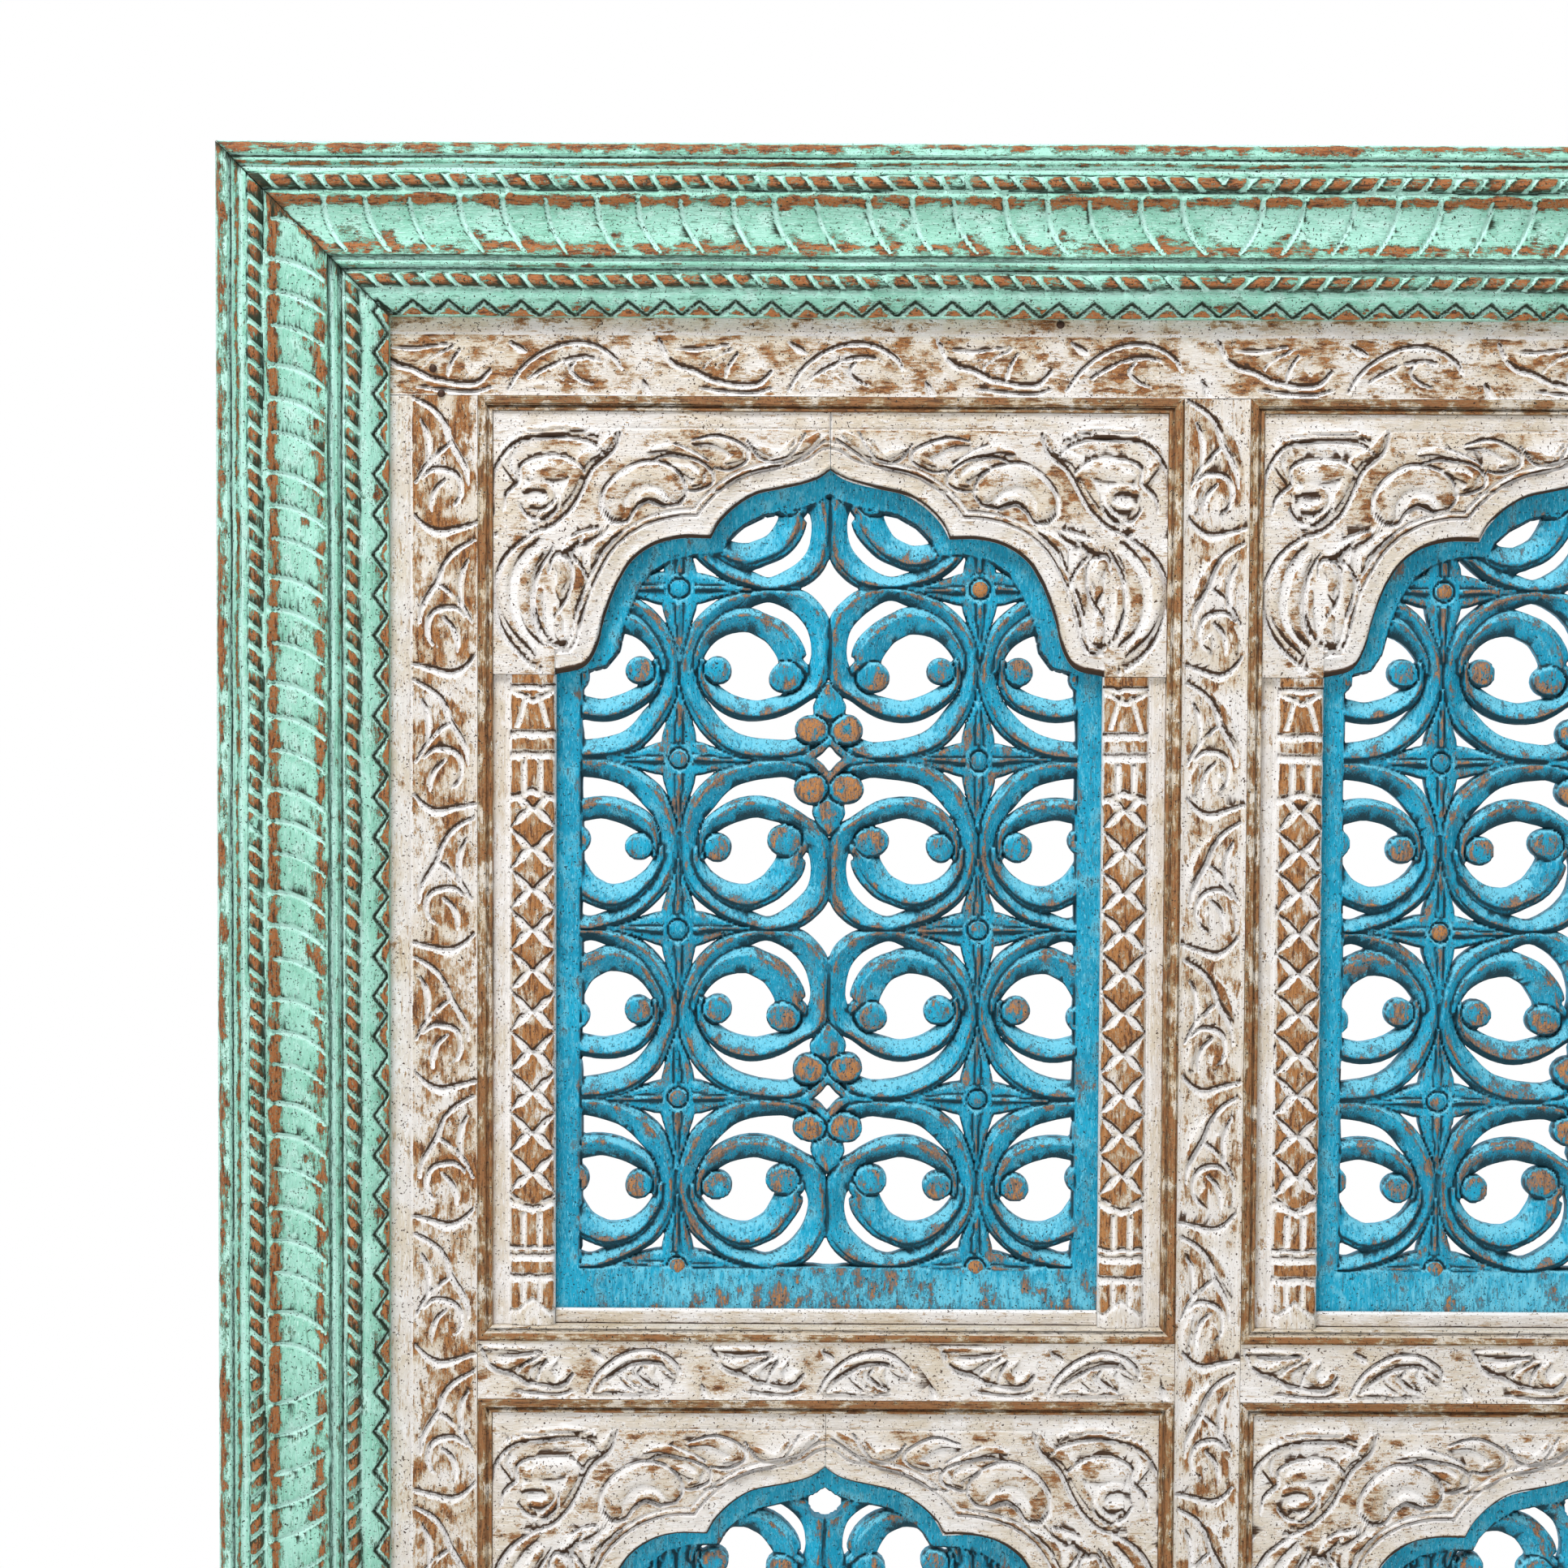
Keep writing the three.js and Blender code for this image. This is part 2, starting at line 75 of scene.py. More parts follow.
def rubbed_paint(name, grain, paint, wood, dirt_and_shade, wear, streak, rough):
    """Brushed paint rubbed back to the wood, in streaks along the grain, with painted shade on faces turned
    down and in creases and a painted highlight on faces turned up.

    paint: two tones of the coat, its pale tone (laid at random and as the painted highlight), its thin edge
    beside bare wood, and its tone in the cuts. wood: its light, middle and dark tones. After the wood comes
    the tone of dark specks and of painted shade. wear: how far bare patches spread, everywhere and on raised
    places. streak: the size of a streak across and along the grain in mm. rough: of paint and of wood.
    """
    material = bpy.data.materials.new(name)
    material.use_nodes = True
    tree = material.node_tree
    shader = tree.nodes["Principled BSDF"]
    place = add(tree, "ShaderNodeTexCoord").outputs["Object"]

    def noise(across, along, detail):
        """Noise whose features are across mm wide and along mm long, lying with the grain."""
        wide, long = 1000 / across, 1000 / along
        scale = (long, wide, wide) if grain == "across" else (wide, wide, long)
        stretched = add(tree, "ShaderNodeMapping", [(0, place)], i3=scale)
        cloud = add(tree, "ShaderNodeTexNoise", [(0, stretched.outputs[0])], i2=1, i3=detail, i4=0.6)
        return cloud.outputs[0]

    def sum_of(a, b, weight):
        return add(tree, "ShaderNodeMath", [(0, a), (2, b)], operation="MULTIPLY_ADD", i1=weight).outputs[0]

    def mixed(factor, first, second):
        node = add(tree, "ShaderNodeMix", [(0, factor)], data_type="RGBA")
        for socket, tone in ((6, first), (7, second)):
            if isinstance(tone, str):
                node.inputs[socket].default_value = linear(tone)
            else:
                tree.links.new(tone, node.inputs[socket])
        return node.outputs[2]

    def spread(value, start, end, first=0.0, last=1.0):
        node = add(tree, "ShaderNodeMapRange", [(0, value)], interpolation_type="SMOOTHSTEP",
                   i1=start, i2=end, i3=first, i4=last)
        return node.outputs[0]

    streaks = noise(*streak, 4)
    lines = noise(streak[0] / 2.2, streak[1] / 2.2, 3)
    patches = noise(9, 14, 4)
    clouds = noise(36, 36, 3)
    specks = noise(1.5, 1.5, 2)
    raised, sunk, bare, dark, dusty = (
        add(tree, "ShaderNodeAttribute", attribute_name=key).outputs["Fac"]
        for key in ("raised", "sunk", "bare", "dark", "dusty")
    )
    amount = sum_of(streaks, patches, 0.6)
    amount = sum_of(lines, amount, 0.4)
    amount = sum_of(patches, amount, 0.35)
    amount = sum_of(clouds, amount, 0.5)
    amount = sum_of(specks, amount, 0.4)
    amount = sum_of(raised, amount, wear[1])
    amount = sum_of(bare, amount, 0.62)
    amount = sum_of(sunk, amount, -0.35)
    low = 1.625 - wear[0]
    mask = spread(amount, low, low + 0.08)
    # Crumbs of paint stay in the pores of the bare wood
    crumbs = spread(specks, 0.58, 0.66, 1.0, 0.35)
    mask = add(tree, "ShaderNodeMath", [(0, mask), (1, crumbs)], operation="MULTIPLY").outputs[0]

    coat = mixed(spread(clouds, 0.36, 0.64), paint[0], paint[1])
    coat = mixed(spread(patches, 0.52, 0.66, 0.0, 0.8), coat, paint[2])
    coat = mixed(spread(lines, 0.55, 0.7), coat, paint[2])
    # Painted highlight: the pale tone where faces turn up; at the foot of the lattices the same tone stands
    # for dust
    coat = mixed(spread(sum_of(dusty, streaks, 0.45), 0.5, 0.85), coat, paint[2])
    coat = mixed(spread(streaks, 0.41, 0.33, 0.0, 0.9), coat, paint[3])
    coat = mixed(sunk, coat, paint[4])
    timber = mixed(spread(sum_of(bare, lines, 0.4), 0.6, 0.8), wood[1], wood[0])
    timber = mixed(spread(streaks, 0.52, 0.64), timber, wood[2])
    coat = mixed(spread(amount, low - 0.14, low), coat, paint[3])
    colour = mixed(mask, coat, timber)
    # Painted shade: the darkest tone where faces turn down and in creases and hollows, with dark hairlines
    # along the grain
    shade_and_grime = sum_of(dark, lines, 1.1)
    colour = mixed(spread(shade_and_grime, 0.72, 1.3), colour, dirt_and_shade)
    # Dark specks of soil, in the same tone
    colour = mixed(spread(specks, 0.385, 0.33), colour, dirt_and_shade)
    tree.links.new(colour, shader.inputs["Base Color"])
    roughness = add(tree, "ShaderNodeMapRange", [(0, mask)], i3=rough[0], i4=rough[1])
    tree.links.new(roughness.outputs[0], shader.inputs["Roughness"])
    grainy = sum_of(streaks, sum_of(mask, lines, -0.4), 0.8)
    bump = add(tree, "ShaderNodeBump", [("Height", grainy)], i0=0.8, i1=0.0009)
    tree.links.new(bump.outputs[0], shader.inputs["Normal"])
    shader.inputs["IOR"].default_value = 1.48
    shader.inputs["Specular IOR Level"].default_value = 0.3
    return material


def spline(points, per_span):
    """A smooth line through points; every column is smoothed, so a third one can be a half width."""
    p = np.array(points, float)
    p = np.vstack([2 * p[0] - p[1], p, 2 * p[-1] - p[-2]])
    t = np.linspace(0, 1, per_span, endpoint=False)[:, None]
    spans = []
    for a, b, c, d in zip(p, p[1:], p[2:], p[3:]):
        cubic = 3 * b - a - 3 * c + d
        spans.append(0.5 * (2 * b + (c - a) * t + (2 * a - 5 * b + 4 * c - d) * t ** 2 + cubic * t ** 3))
    spans.append(p[-2:-1])
    return np.vstack(spans)


def against(x, y, stroke):
    """Each point's place on a stroke: signed distance across in mm, half width there, share along, offset."""
    path = spline(stroke, 5)
    start, step = path[:-1], np.diff(path, axis=0)
    off_x = x[:, None] - start[:, 0]
    off_y = y[:, None] - start[:, 1]
    t = (off_x * step[:, 0] + off_y * step[:, 1]) / np.maximum((step[:, :2] ** 2).sum(1), 1e-9)
    t = np.clip(t, 0, 1)
    off_x -= t * step[:, 0]
    off_y -= t * step[:, 1]
    best = (off_x ** 2 + off_y ** 2).argmin(1)
    rows = np.arange(len(x))
    t, off_x, off_y = t[rows, best], off_x[rows, best], off_y[rows, best]
    side = np.where(step[best, 0] * off_y - step[best, 1] * off_x < 0, -1, 1)
    half = np.maximum(start[best, 2] + t * step[best, 2], 0.05)
    return side * np.hypot(off_x, off_y), half, (best + t) / len(step), np.stack([off_x, off_y])


def carve(x, y, height, strokes, up, top=0.0, cut=0.0):
    """Raises rounded petals on a height field, or cuts grooves in it; a stroke is [(x, y, half width), ...].

    A groove is a stop cut with a sheer wall on its side towards up, and a long slope on the other.
    """
    flat = height.reshape(-1)
    ground = flat.copy()
    all_x, all_y = x.reshape(-1), y.reshape(-1)
    for stroke in strokes:
        path = np.array(stroke, float)
        reach = path[:, 2].max() + 3
        low, high = path[:, :2].min(0) - reach, path[:, :2].max(0) + reach
        near = (all_x > low[0]) & (all_x < high[0]) & (all_y > low[1]) & (all_y < high[1])
        near = np.flatnonzero(near)
        if not len(near):
            continue
        across, half, _, offset = against(all_x[near], all_y[near], stroke)
        share = np.abs(across) / half
        if cut:
            above = (up[0] * offset[0] + up[1] * offset[1]) / np.maximum(np.abs(across), 1e-6)
            share = share / np.where(above > 0, 1 - 0.5 * above, 1 - 0.3 * above)
        inside = share < 1
        near, share = near[inside], share[inside]
        if top:
            petal = ground[near] + top * np.sqrt(1 - share ** 2) - 0.25
            flat[near] = np.maximum(flat[near], petal)
        else:
            flat[near] = np.minimum(flat[near], ground[near] - cut * (1 - share))
    return flat.reshape(height.shape)


def softened(height, times):
    for _ in range(times):
        wide = np.pad(height, 1, mode="edge")
        height = (wide[:-2, 1:-1] + 2 * height + wide[2:, 1:-1]) / 4
        wide = np.pad(height, 1, mode="edge")
        height = (wide[1:-1, :-2] + 2 * height + wide[1:-1, 2:]) / 4
    return height


def relief_marks(height, cell, up, times=7, full=0.8):
    """Where the surface stands proud, lies low, faces down (painted shade) or faces up (painted highlight),
    each from 0 to 1.

    cell is the grid's step in mm; up is the axis that runs upwards and its sign.
    """
    step = height - softened(height, times)
    slope = np.gradient(height, axis=up[0]) * up[1] / cell
    # Painted shade on faces turned down, and a painted highlight on faces turned up
    return {
        "raised": np.clip(step / full, 0, 1), "sunk": np.clip(-step / full, 0, 1),
        "dark": np.clip((slope - 0.3) / 0.7, 0, 1), "dusty": np.clip((-slope - 0.15) / 0.8, 0, 1),
    }


def ripple(x, y, size, seed):
    """A gentle unevenness of about one, for a surface or a line cut by hand."""
    chance = np.random.default_rng(seed)
    total = 0
    for _ in range(4):
        angle, phase = chance.uniform(0, 2 * math.pi, 2)
        pace = 2 * math.pi / (size * chance.uniform(0.6, 1.7))
        total = total + np.sin((x * math.cos(angle) + y * math.sin(angle)) * pace + phase)
    return total / 2


def settle(piece, modifier):
    """Makes what the modifier shows the piece's own plain mesh, and drops the mesh that it had."""
    base = piece.data
    shown = piece.evaluated_get(bpy.context.evaluated_depsgraph_get())
    finished = bpy.data.meshes.new_from_object(shown)
    piece.modifiers.remove(modifier)
    piece.data = finished
    bpy.data.meshes.remove(base)
    finished.name = piece.name


def piece_from(name, points, faces, marks, material, keep, sharp=34):
    """A closed mesh in mm made into a finished piece: outward faces, thinned where it is flat, edges kept."""
    mesh = bpy.data.meshes.new(name)
    mesh.from_pydata((points * 0.001).tolist(), [], faces)
    for key, values in marks.items():
        layer = mesh.attributes.new(key, "FLOAT", "POINT")
        layer.data.foreach_set("value", np.asarray(values, np.float32).reshape(-1))
    piece = bpy.data.objects.new(name, mesh)
    scene.collection.objects.link(piece)
    if keep < 1:
        thin = piece.modifiers.new("thin", "DECIMATE")
        thin.ratio = keep
        settle(piece, thin)
    piece.data.materials.clear()
    piece.data.materials.append(material)
    piece.data.shade_smooth()
    piece.data.set_sharp_from_angle(angle=math.radians(sharp))
    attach(piece, "root")
    return piece


def lofted(name, rings, marks, material, keep):
    """A solid through closed profiles of the same number of points, with its two ends closed."""
    rows, count = rings.shape[:2]
    index = np.arange(rows * count).reshape(rows, count)
    here, there = index[:-1], index[1:]
    quads = np.stack([here, there, np.roll(there, -1, 1), np.roll(here, -1, 1)], -1).reshape(-1, 4)
    points = rings.reshape(-1, 3)
    a, b, c, d = (points[quads[:, k]] for k in range(4))
    volume = (np.cross(b - a, c - a) * a).sum() + (np.cross(c - a, d - a) * a).sum()
    ends = [index[0].tolist(), index[-1][::-1].tolist()]
    if volume < 0:
        quads = quads[:, ::-1]
        ends = [end[::-1] for end in ends]
    return piece_from(name, points, quads.tolist() + ends, marks, material, keep)


def with_back(front, back):
    """Adds two back points, at the first and last front point, to each profile of a height field."""
    first, last = front[:, :1].copy(), front[:, -1:].copy()
    first[:, :, 1] = -back
    last[:, :, 1] = -back
    return np.concatenate([front, last, first], 1)


def marks_of(height, cell, up, bare=0.0, dark=0.0, back_points=2):
    marks = relief_marks(height, cell, up)
    marks["bare"] = bare + np.zeros_like(height)
    marks["dark"] = np.maximum(marks["dark"], dark)
    return {key: np.pad(value, ((0, 0), (0, back_points))) for key, value in marks.items()}


# Limewash over mango wood, rubbed back: chalky white in the cuts, cream on the flats, brown leaf tops.
whitewash = {
    grain: rubbed_paint(
        f"rubbed_limewash_{grain}", grain, ("#E0DBD6", "#D3C7B4", "#F0EEED", "#B39A7C", "#F1EFEE"),
        ("#B07A48", "#8C5A33", "#64402A"), "#453020", (-0.33, 0.10), (2.0, 11), (0.78, 0.72),
    )
    for grain in ("across", "upright")
}

# One hanging and one rising leaf of the rails' vine: along, across from the outer side, half width, in mm
rail_petals = [
    [(1, 4, 1.0), (19, 4, 1.8), (42, 5, 0.5)],
    [(6, 13, 1.6), (18, 16.5, 3.0), (30, 12, 2.2), (42, 9, 0.5)],
    [(34, 25, 2.4), (32, 20, 3.2), (36, 15, 2.8), (49, 10, 0.5)],
    [(53, 26, 2.6), (49, 21, 3.3), (50, 17, 2.8), (57, 11, 0.5)],
    [(57, 27, 1.6), (62, 24, 2.5), (65, 20, 1.8)],
    [(83, 34, 0.6), (88, 25, 1.5), (97, 17.5, 2.3), (109, 11, 2.4), (122, 9.5, 2.4), (133, 11.5, 2.2),
     (141, 18, 2.6), (144, 21, 1.2)],
    [(103, 22, 0.5), (107, 26.5, 1.4), (114, 31.5, 1.4), (123, 34, 0.5)],
    [(112, 18, 1.9), (110, 21, 2.4), (113, 26, 2.1), (121, 31, 1.4), (130, 33, 0.5)],
    [(127, 16.5, 1.9), (125, 20.5, 2.4), (128, 26, 1.8), (130, 29.5, 0.6)],
    [(133, 15.5, 1.0), (136, 20, 1.4), (144, 24, 0.5)],
    [(84, 35, 0.5), (96, 32.5, 1.3), (109, 34, 1.3), (120, 35, 0.4)],
]
rail_cuts = [
    [(0, 3, 0.9), (4, 11.5, 1.6), (11, 18, 1.9), (22, 21.5, 1.6), (31, 26, 1.8), (42, 29, 1.6),
     (53, 30.5, 1.6), (62, 29, 1.4), (69, 22, 0.9)],
    [(10, 8.5, 0.5), (24, 9, 1.0), (43, 6.5, 0.4)],
    [(28, 20, 0.6), (33, 15, 1.0), (45, 8, 0.5)],
    [(42, 26, 0.8), (44, 19, 1.0), (49, 11, 0.5)],
    [(79, 34, 0.6), (85, 24, 1.2), (93, 16, 1.5), (104, 9, 1.5), (119, 5, 1.4), (133, 7, 1.2),
     (144, 14, 1.2), (148, 21, 0.8)],
    [(92, 27, 0.5), (101, 21, 1.1), (115, 15, 1.1), (127, 13.5, 1.1), (136, 16, 0.5)],
    [(121, 16, 0.5), (117, 22, 1.0), (123, 28.5, 1.0), (131, 32, 0.4)],
    [(81, 5, 0.6), (88, 9, 2.2), (91, 11.5, 0.5)],
    [(165, 36, 2.4), (163, 31, 1.5), (161, 28, 0.4)],
    [(70, 33, 0.5), (58, 36, 1.1), (40, 35, 1.1), (24, 33, 0.5)],
]
# One leaf of the stiles' vine; every second leaf is turned over
stile_petals = [
    [(57, 22.5, 1.4), (61.5, 23.6, 3.0), (66, 21.5, 1.2)],
    [(8, 17, 0.8), (17, 24, 2.6), (27, 29, 2.4), (36, 33, 0.8)],
    [(22, 14, 0.8), (30, 14.5, 2.0), (37, 12, 0.8)],
    [(50, 9, 0.8), (58, 6.5, 2.2), (67, 6, 0.8)],
]
stile_cuts = [
    [(0, 1.3, 0.7), (5.6, 11.4, 1.5), (13.5, 19, 1.6), (23.7, 22.2, 1.5), (33.8, 27.9, 1.6),
     (41.7, 31.7, 1.4), (51, 33, 0.6)],
    [(12.4, 5.7, 0.5), (19.2, 8.9, 1.5), (28.2, 10.1, 1.5), (38.3, 8.9, 0.5)],
    [(50.2, 2.5, 0.6), (40.6, 7.6, 1.3), (31.6, 15.2, 1.4), (26.5, 22.8, 0.7)],
    [(46.8, 7, 0.6), (41.7, 12.7, 1.3), (41.7, 20.3, 1.6), (45.1, 26.6, 1.6), (53, 29.1, 1.4),
     (60.9, 27.2, 1.1), (65.4, 22.2, 0.5)],
    [(67.6, 11.7, 0.5), (60.9, 11.7, 1.5), (53, 14.6, 1.4), (47.9, 20.3, 0.5)],
    [(69.9, 1.9, 0.6), (76.7, 8.9, 1.6), (79.5, 16.5, 2.4), (77.2, 26.6, 1.6), (74.4, 38, 0.8)],
]


def vine(along, across, height, start, end, pitch, wide, petals, cuts, turned, up, seed):
    """Cuts the vine between start and end, fitted to a whole number of units and to its band's width."""
    chance = np.random.default_rng(seed)
    count = max(1, round((end - start) / pitch))
    fit = (end - start) / count / pitch
    raise_all, cut_all = [], []
    for k in range(count):
        flip = turned and k % 2
        origin = start + k * pitch * fit
        for strokes, made in ((petals, raise_all), (cuts, cut_all)):
            for stroke in strokes:
                shift = chance.normal(0, 0.35, 2)
                path = [(origin + a * fit + shift[0], (wide - c if flip else c) + shift[1], w)
                        for a, c, w in stroke]
                made.append(path)
    height = carve(along, across, height, cut_all, up, cut=2.9)
    return carve(along, across, height, raise_all, up, top=2.3)


# name, left, right, bottom, top, grain, the vine's band as (edge it is measured from, plain margin)
boards = [
    ("stile_left", -512.7, -450, -597.7, 597.7, "upright", -503, 1, 12.5),
    ("stile_right", 450, 512.7, -597.7, 597.7, "upright", 503, -1, 12.5),
    ("mullion", -20, 20, -597.7, 597.7, "upright", -20, 1, 1.5),
    ("rail_top", -512.7, 512.7, 598, 654.7, "across", 645, -1, 9.5),
    ("rail_bottom", -512.7, 512.7, -654.7, -598, "across", -645, 1, 9.5),
    ("rail_middle_left", -449.7, -20.3, -18, 18, "across", 18, -1, 1.0),
    ("rail_middle_right", 20.3, 449.7, -18, 18, "across", 18, -1, 1.0),
]
board_face = 31.2
for number, (name, left, right, bottom, top, grain, edge, inwards, margin) in enumerate(boards):
    upright = grain == "upright"
    low, high = (bottom, top) if upright else (left, right)
    near, far = (left, right) if upright else (bottom, top)
    long = np.linspace(low, high, int((high - low) / 1.35))
    wide = np.linspace(near, far, int((far - near) / 1.1))
    along, across = np.meshgrid(long, wide, indexing="ij")
    c = (across - edge) * inwards
    # The mullion and the middle rails have a plain margin on both sides of the vine
    slim = abs(edge) < 30
    inner_edge = near if inwards < 0 else far
    band = far - near - 2 * margin if slim else abs(inner_edge - edge) - margin
    height = np.full(along.shape, board_face)
    in_band = np.clip((c - margin) / 0.8, 0, 1) * np.clip((margin + band - c) / 0.8, 0, 1)
    height -= 0.7 * in_band
    if upright:
        parts = (stile_petals, stile_cuts, True, 84)
    else:
        parts = (rail_petals, rail_cuts, False, 170)
    petals, cuts, turned, pitch = parts
    scale = band / 38
    petals, cuts = ([[(a, p * scale, w * wider * min(1, scale + 0.1)) for a, p, w in s] for s in group]
                    for group, wider in ((petals, 1.0), (cuts, 1.5)))
    a = (high - along) if upright else (along - low)
    inset = 10 if name == "rail_bottom" else 0
    warp = 0.5 * ripple(along, across, 40, number)
    up = (-1, 0) if upright else (0, inwards)
    ground = height.copy()
    height = vine(a + warp, c - margin, height, inset + 2, high - low - inset - 2, pitch, band, petals, cuts,
                  turned, up, 40 + number)
    lowered = np.clip((ground - height) / 0.9, 0, 1)
    ground_worn = (0.44, 0.44, 0.33, 0.38, 0.38, 0.16, 0.16)[number]
    bare = ground_worn * in_band * (1 - lowered) - 0.5 * lowered
    bare += 0.35 * np.clip(1.4 - c / 7, 0, 1) * (number in (3, 4))
    if margin > 5:
        line = np.abs(c - margin + 0.3 * ripple(along, across, 60, number))
        height = np.minimum(height, 31.0 - 1.1 * np.clip(1 - line / 1.3, 0, 1))
    tucked = np.clip(-c / 2 - 0.2, 0, 1)
    height = height + 0.25 * ripple(along, across, 90, 7 + number) * (1 - tucked)
    height = height * (1 - tucked) + 31.0 * tucked
    height[[0, -1]] = np.minimum(height[[0, -1]], 30.6)
    marks = marks_of(height, 1.25, (0, 1) if upright else (1, 1), bare)
    place = [across, -height, along] if upright else [along, -height, across]
    rings = with_back(np.stack(place, -1), 0)
    piece = lofted(name + "_carved", rings, marks, whitewash[grain],
                   0.5 if number in (0, 2, 3) else 0.3)
    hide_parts(name)


# Lattices: four pierced boards, 14 mm thick, sawn out and then carved so that every scroll has a thin bevel,
# a ridge and a long slope towards its eye. Painted blue over wood; rubbed on the ridges, orange on the discs.

# Satin oil paint: clear turquoise, pale on faces turned up as a painted highlight and pale where dust lies at
# the foot, darker in the cuts and hollows as painted shade, with brown wood where it is rubbed through
blue_paint = rubbed_paint(
    "rubbed_blue_paint", "upright", ("#0EA6CC", "#0592B6", "#72CDE6", "#3F8095", "#087C9E"),
    ("#BC8048", "#8B7263", "#6A5A50"), "#17404D", (-0.36, 0.22), (1.7, 8), (0.5, 0.66),
)

# One ring with the quarter patterns at its corners, as it is left of the centre line with the hearts below
# it: x to the centre line, y up, in mm from the ring's centre. A scroll is (outer edge, inner edge) pairs.
ring_across, ring_up = 92.5, 105.0
great_scroll = [
    ((32, -50.5), (25.5, -40)), ((20, -53.5), (20.1, -41.5)), ((8, -53.9), (9.7, -40.8)),
    ((-3, -53), (-0.7, -39.1)), ((-16.4, -49), (-11.1, -35.6)), ((-27, -42), (-19.4, -29.4)),
    ((-36, -33), (-25, -22.5)), ((-42.5, -20), (-31, -14)), ((-46.6, -5), (-34.6, -3)),
    ((-46.2, 10), (-33.8, 8.5)), ((-41.8, 24), (-30.5, 19)), ((-33.5, 36.2), (-24, 28.5)),
    ((-19.5, 46.6), (-13.5, 37)), ((-4, 52), (-3.1, 41.5)), ((10, 54), (9.7, 45.1)),
    ((26.6, 52.6), (23.6, 38.5)), ((37, 46.3), (30.4, 32)), ((44, 37), (34, 25.5)),
    ((46.8, 25), (35.4, 18)), ((47, 12.9), (35.3, 10)), ((46.8, 2), (33, 2.5)),
    ((43.6, -8), (30.5, -5)), ((34, -15.6), (25.5, -8.8)), ((23.6, -22.8), (18.5, -12)),
    ((13.2, -27.6), (11, -14)), ((1.4, -29.4), (2.8, -15.9)), ((-8.5, -28.4), (-6, -14.6)),
    ((-19, -24.3), (-14, -12)), ((-28, -17.5), (-21.5, -7.6)), ((-33.5, -8), (-27, -3)),
    ((-34.6, 2), (-30, 3)), ((-33, 9), (-30.5, 7)),
]
upper_scroll = [
    ((-38, 2), (-34, 3)), ((-37, 14), (-31.5, 9)), ((-30.5, 25), (-27, 16.4)),
    ((-21, 34.2), (-20.5, 22)), ((-10, 39.6), (-12.5, 25)), ((-1, 41), (-4, 25.3)),
    ((6.2, 38.5), (2, 23)), ((16.6, 33.7), (8.3, 18.6)), ((24.9, 26), (12.6, 12)),
    ((30, 18), (15, 6.5)), ((32, 9), (15.8, 2)), ((32.5, 5.5), (22, 0)),
]
discs = [(-22.2, 2.1, 8.9, 8.9), (19.2, -2.0, 10.4, 9.6), (35.2, -34.2, 10.4, 9.4)]
heart_bar = [(20, -53.0, 2.4), (31, -52.4, 2.8), (39, -48, 2.8), (43, -43.5, 2.8), (46.25, -40.2, 3.2),
             (54, -33, 3.0)]
heart_spear = [(46.25, -37, 4), (46.25, -30, 8.5), (46.25, -23, 10), (46.25, -18.5, 10.3), (46.25, -12, 6.3),
               (46.25, -5.4, 0.6)]
star_arm = [(0, 0, 9), (11, 0, 10.2), (20, 0, 8.0), (29, 0, 4.8), (38, 0, 1.6), (44, 0, 0.9)]
# Low webs that tie touching scrolls together: x, y, radius
webs = [(-29.5, 2.5, 5.5), (-31, -3, 4), (-34, -1.5, 4.2), (30.6, -1.2, 3.4), (36.5, -45.2, 4.4),
        (41.5, -38.5, 4.0), (31, 3, 2.2)]
# Sections across a stroke: the share of its width, and the height in mm or how bare the paint is rubbed
scroll_profile = ([0, 0.05, 0.12, 0.22, 0.28, 0.36, 1], [12.2, 13.4, 14.3, 14.9, 16.9, 16.5, 11.2])
scroll_wear = ([0, 0.2, 0.3, 0.4, 0.6, 1], [0.36, 0.3, 0.46, 0.3, 0.08, 0.1])
arm_profile = ([0, 0.1, 0.22, 0.6, 0.85, 1], [16.6, 16.2, 13.7, 14.6, 13.9, 12.6])


def scroll_stroke(pairs):
    return [((a[0] + b[0]) / 2, (a[1] + b[1]) / 2, math.dist(a, b) / 2) for a, b in pairs]


step = 0.5
tile_x = np.arange(-ring_across / 2, ring_across / 2 + 0.1, step)
tile_y = np.arange(-ring_up / 2, ring_up / 2 + 0.1, step)
tx, ty = (v.reshape(-1) for v in np.meshgrid(tile_x, tile_y))
tile = {"wood": np.full(tx.shape, -9.0), "height": np.full(tx.shape, 10.5), "bare": np.zeros(tx.shape)}


def lay(solid, top, bare=0.0, moat=0.0):
    """Adds a carved form to the ring: solid is mm inside its outline, top its surface."""
    if moat:
        tile["height"] = tile["height"] - moat * np.clip(1 + solid / 1.3, 0, 1) * (solid < 0)
    higher = (solid > 0) & ((top > tile["height"]) | (moat > 0))
    tile["height"] = np.where(higher, top, tile["height"])
    tile["bare"] = np.where(higher, bare, tile["bare"])
    tile["wood"] = np.maximum(tile["wood"], solid)


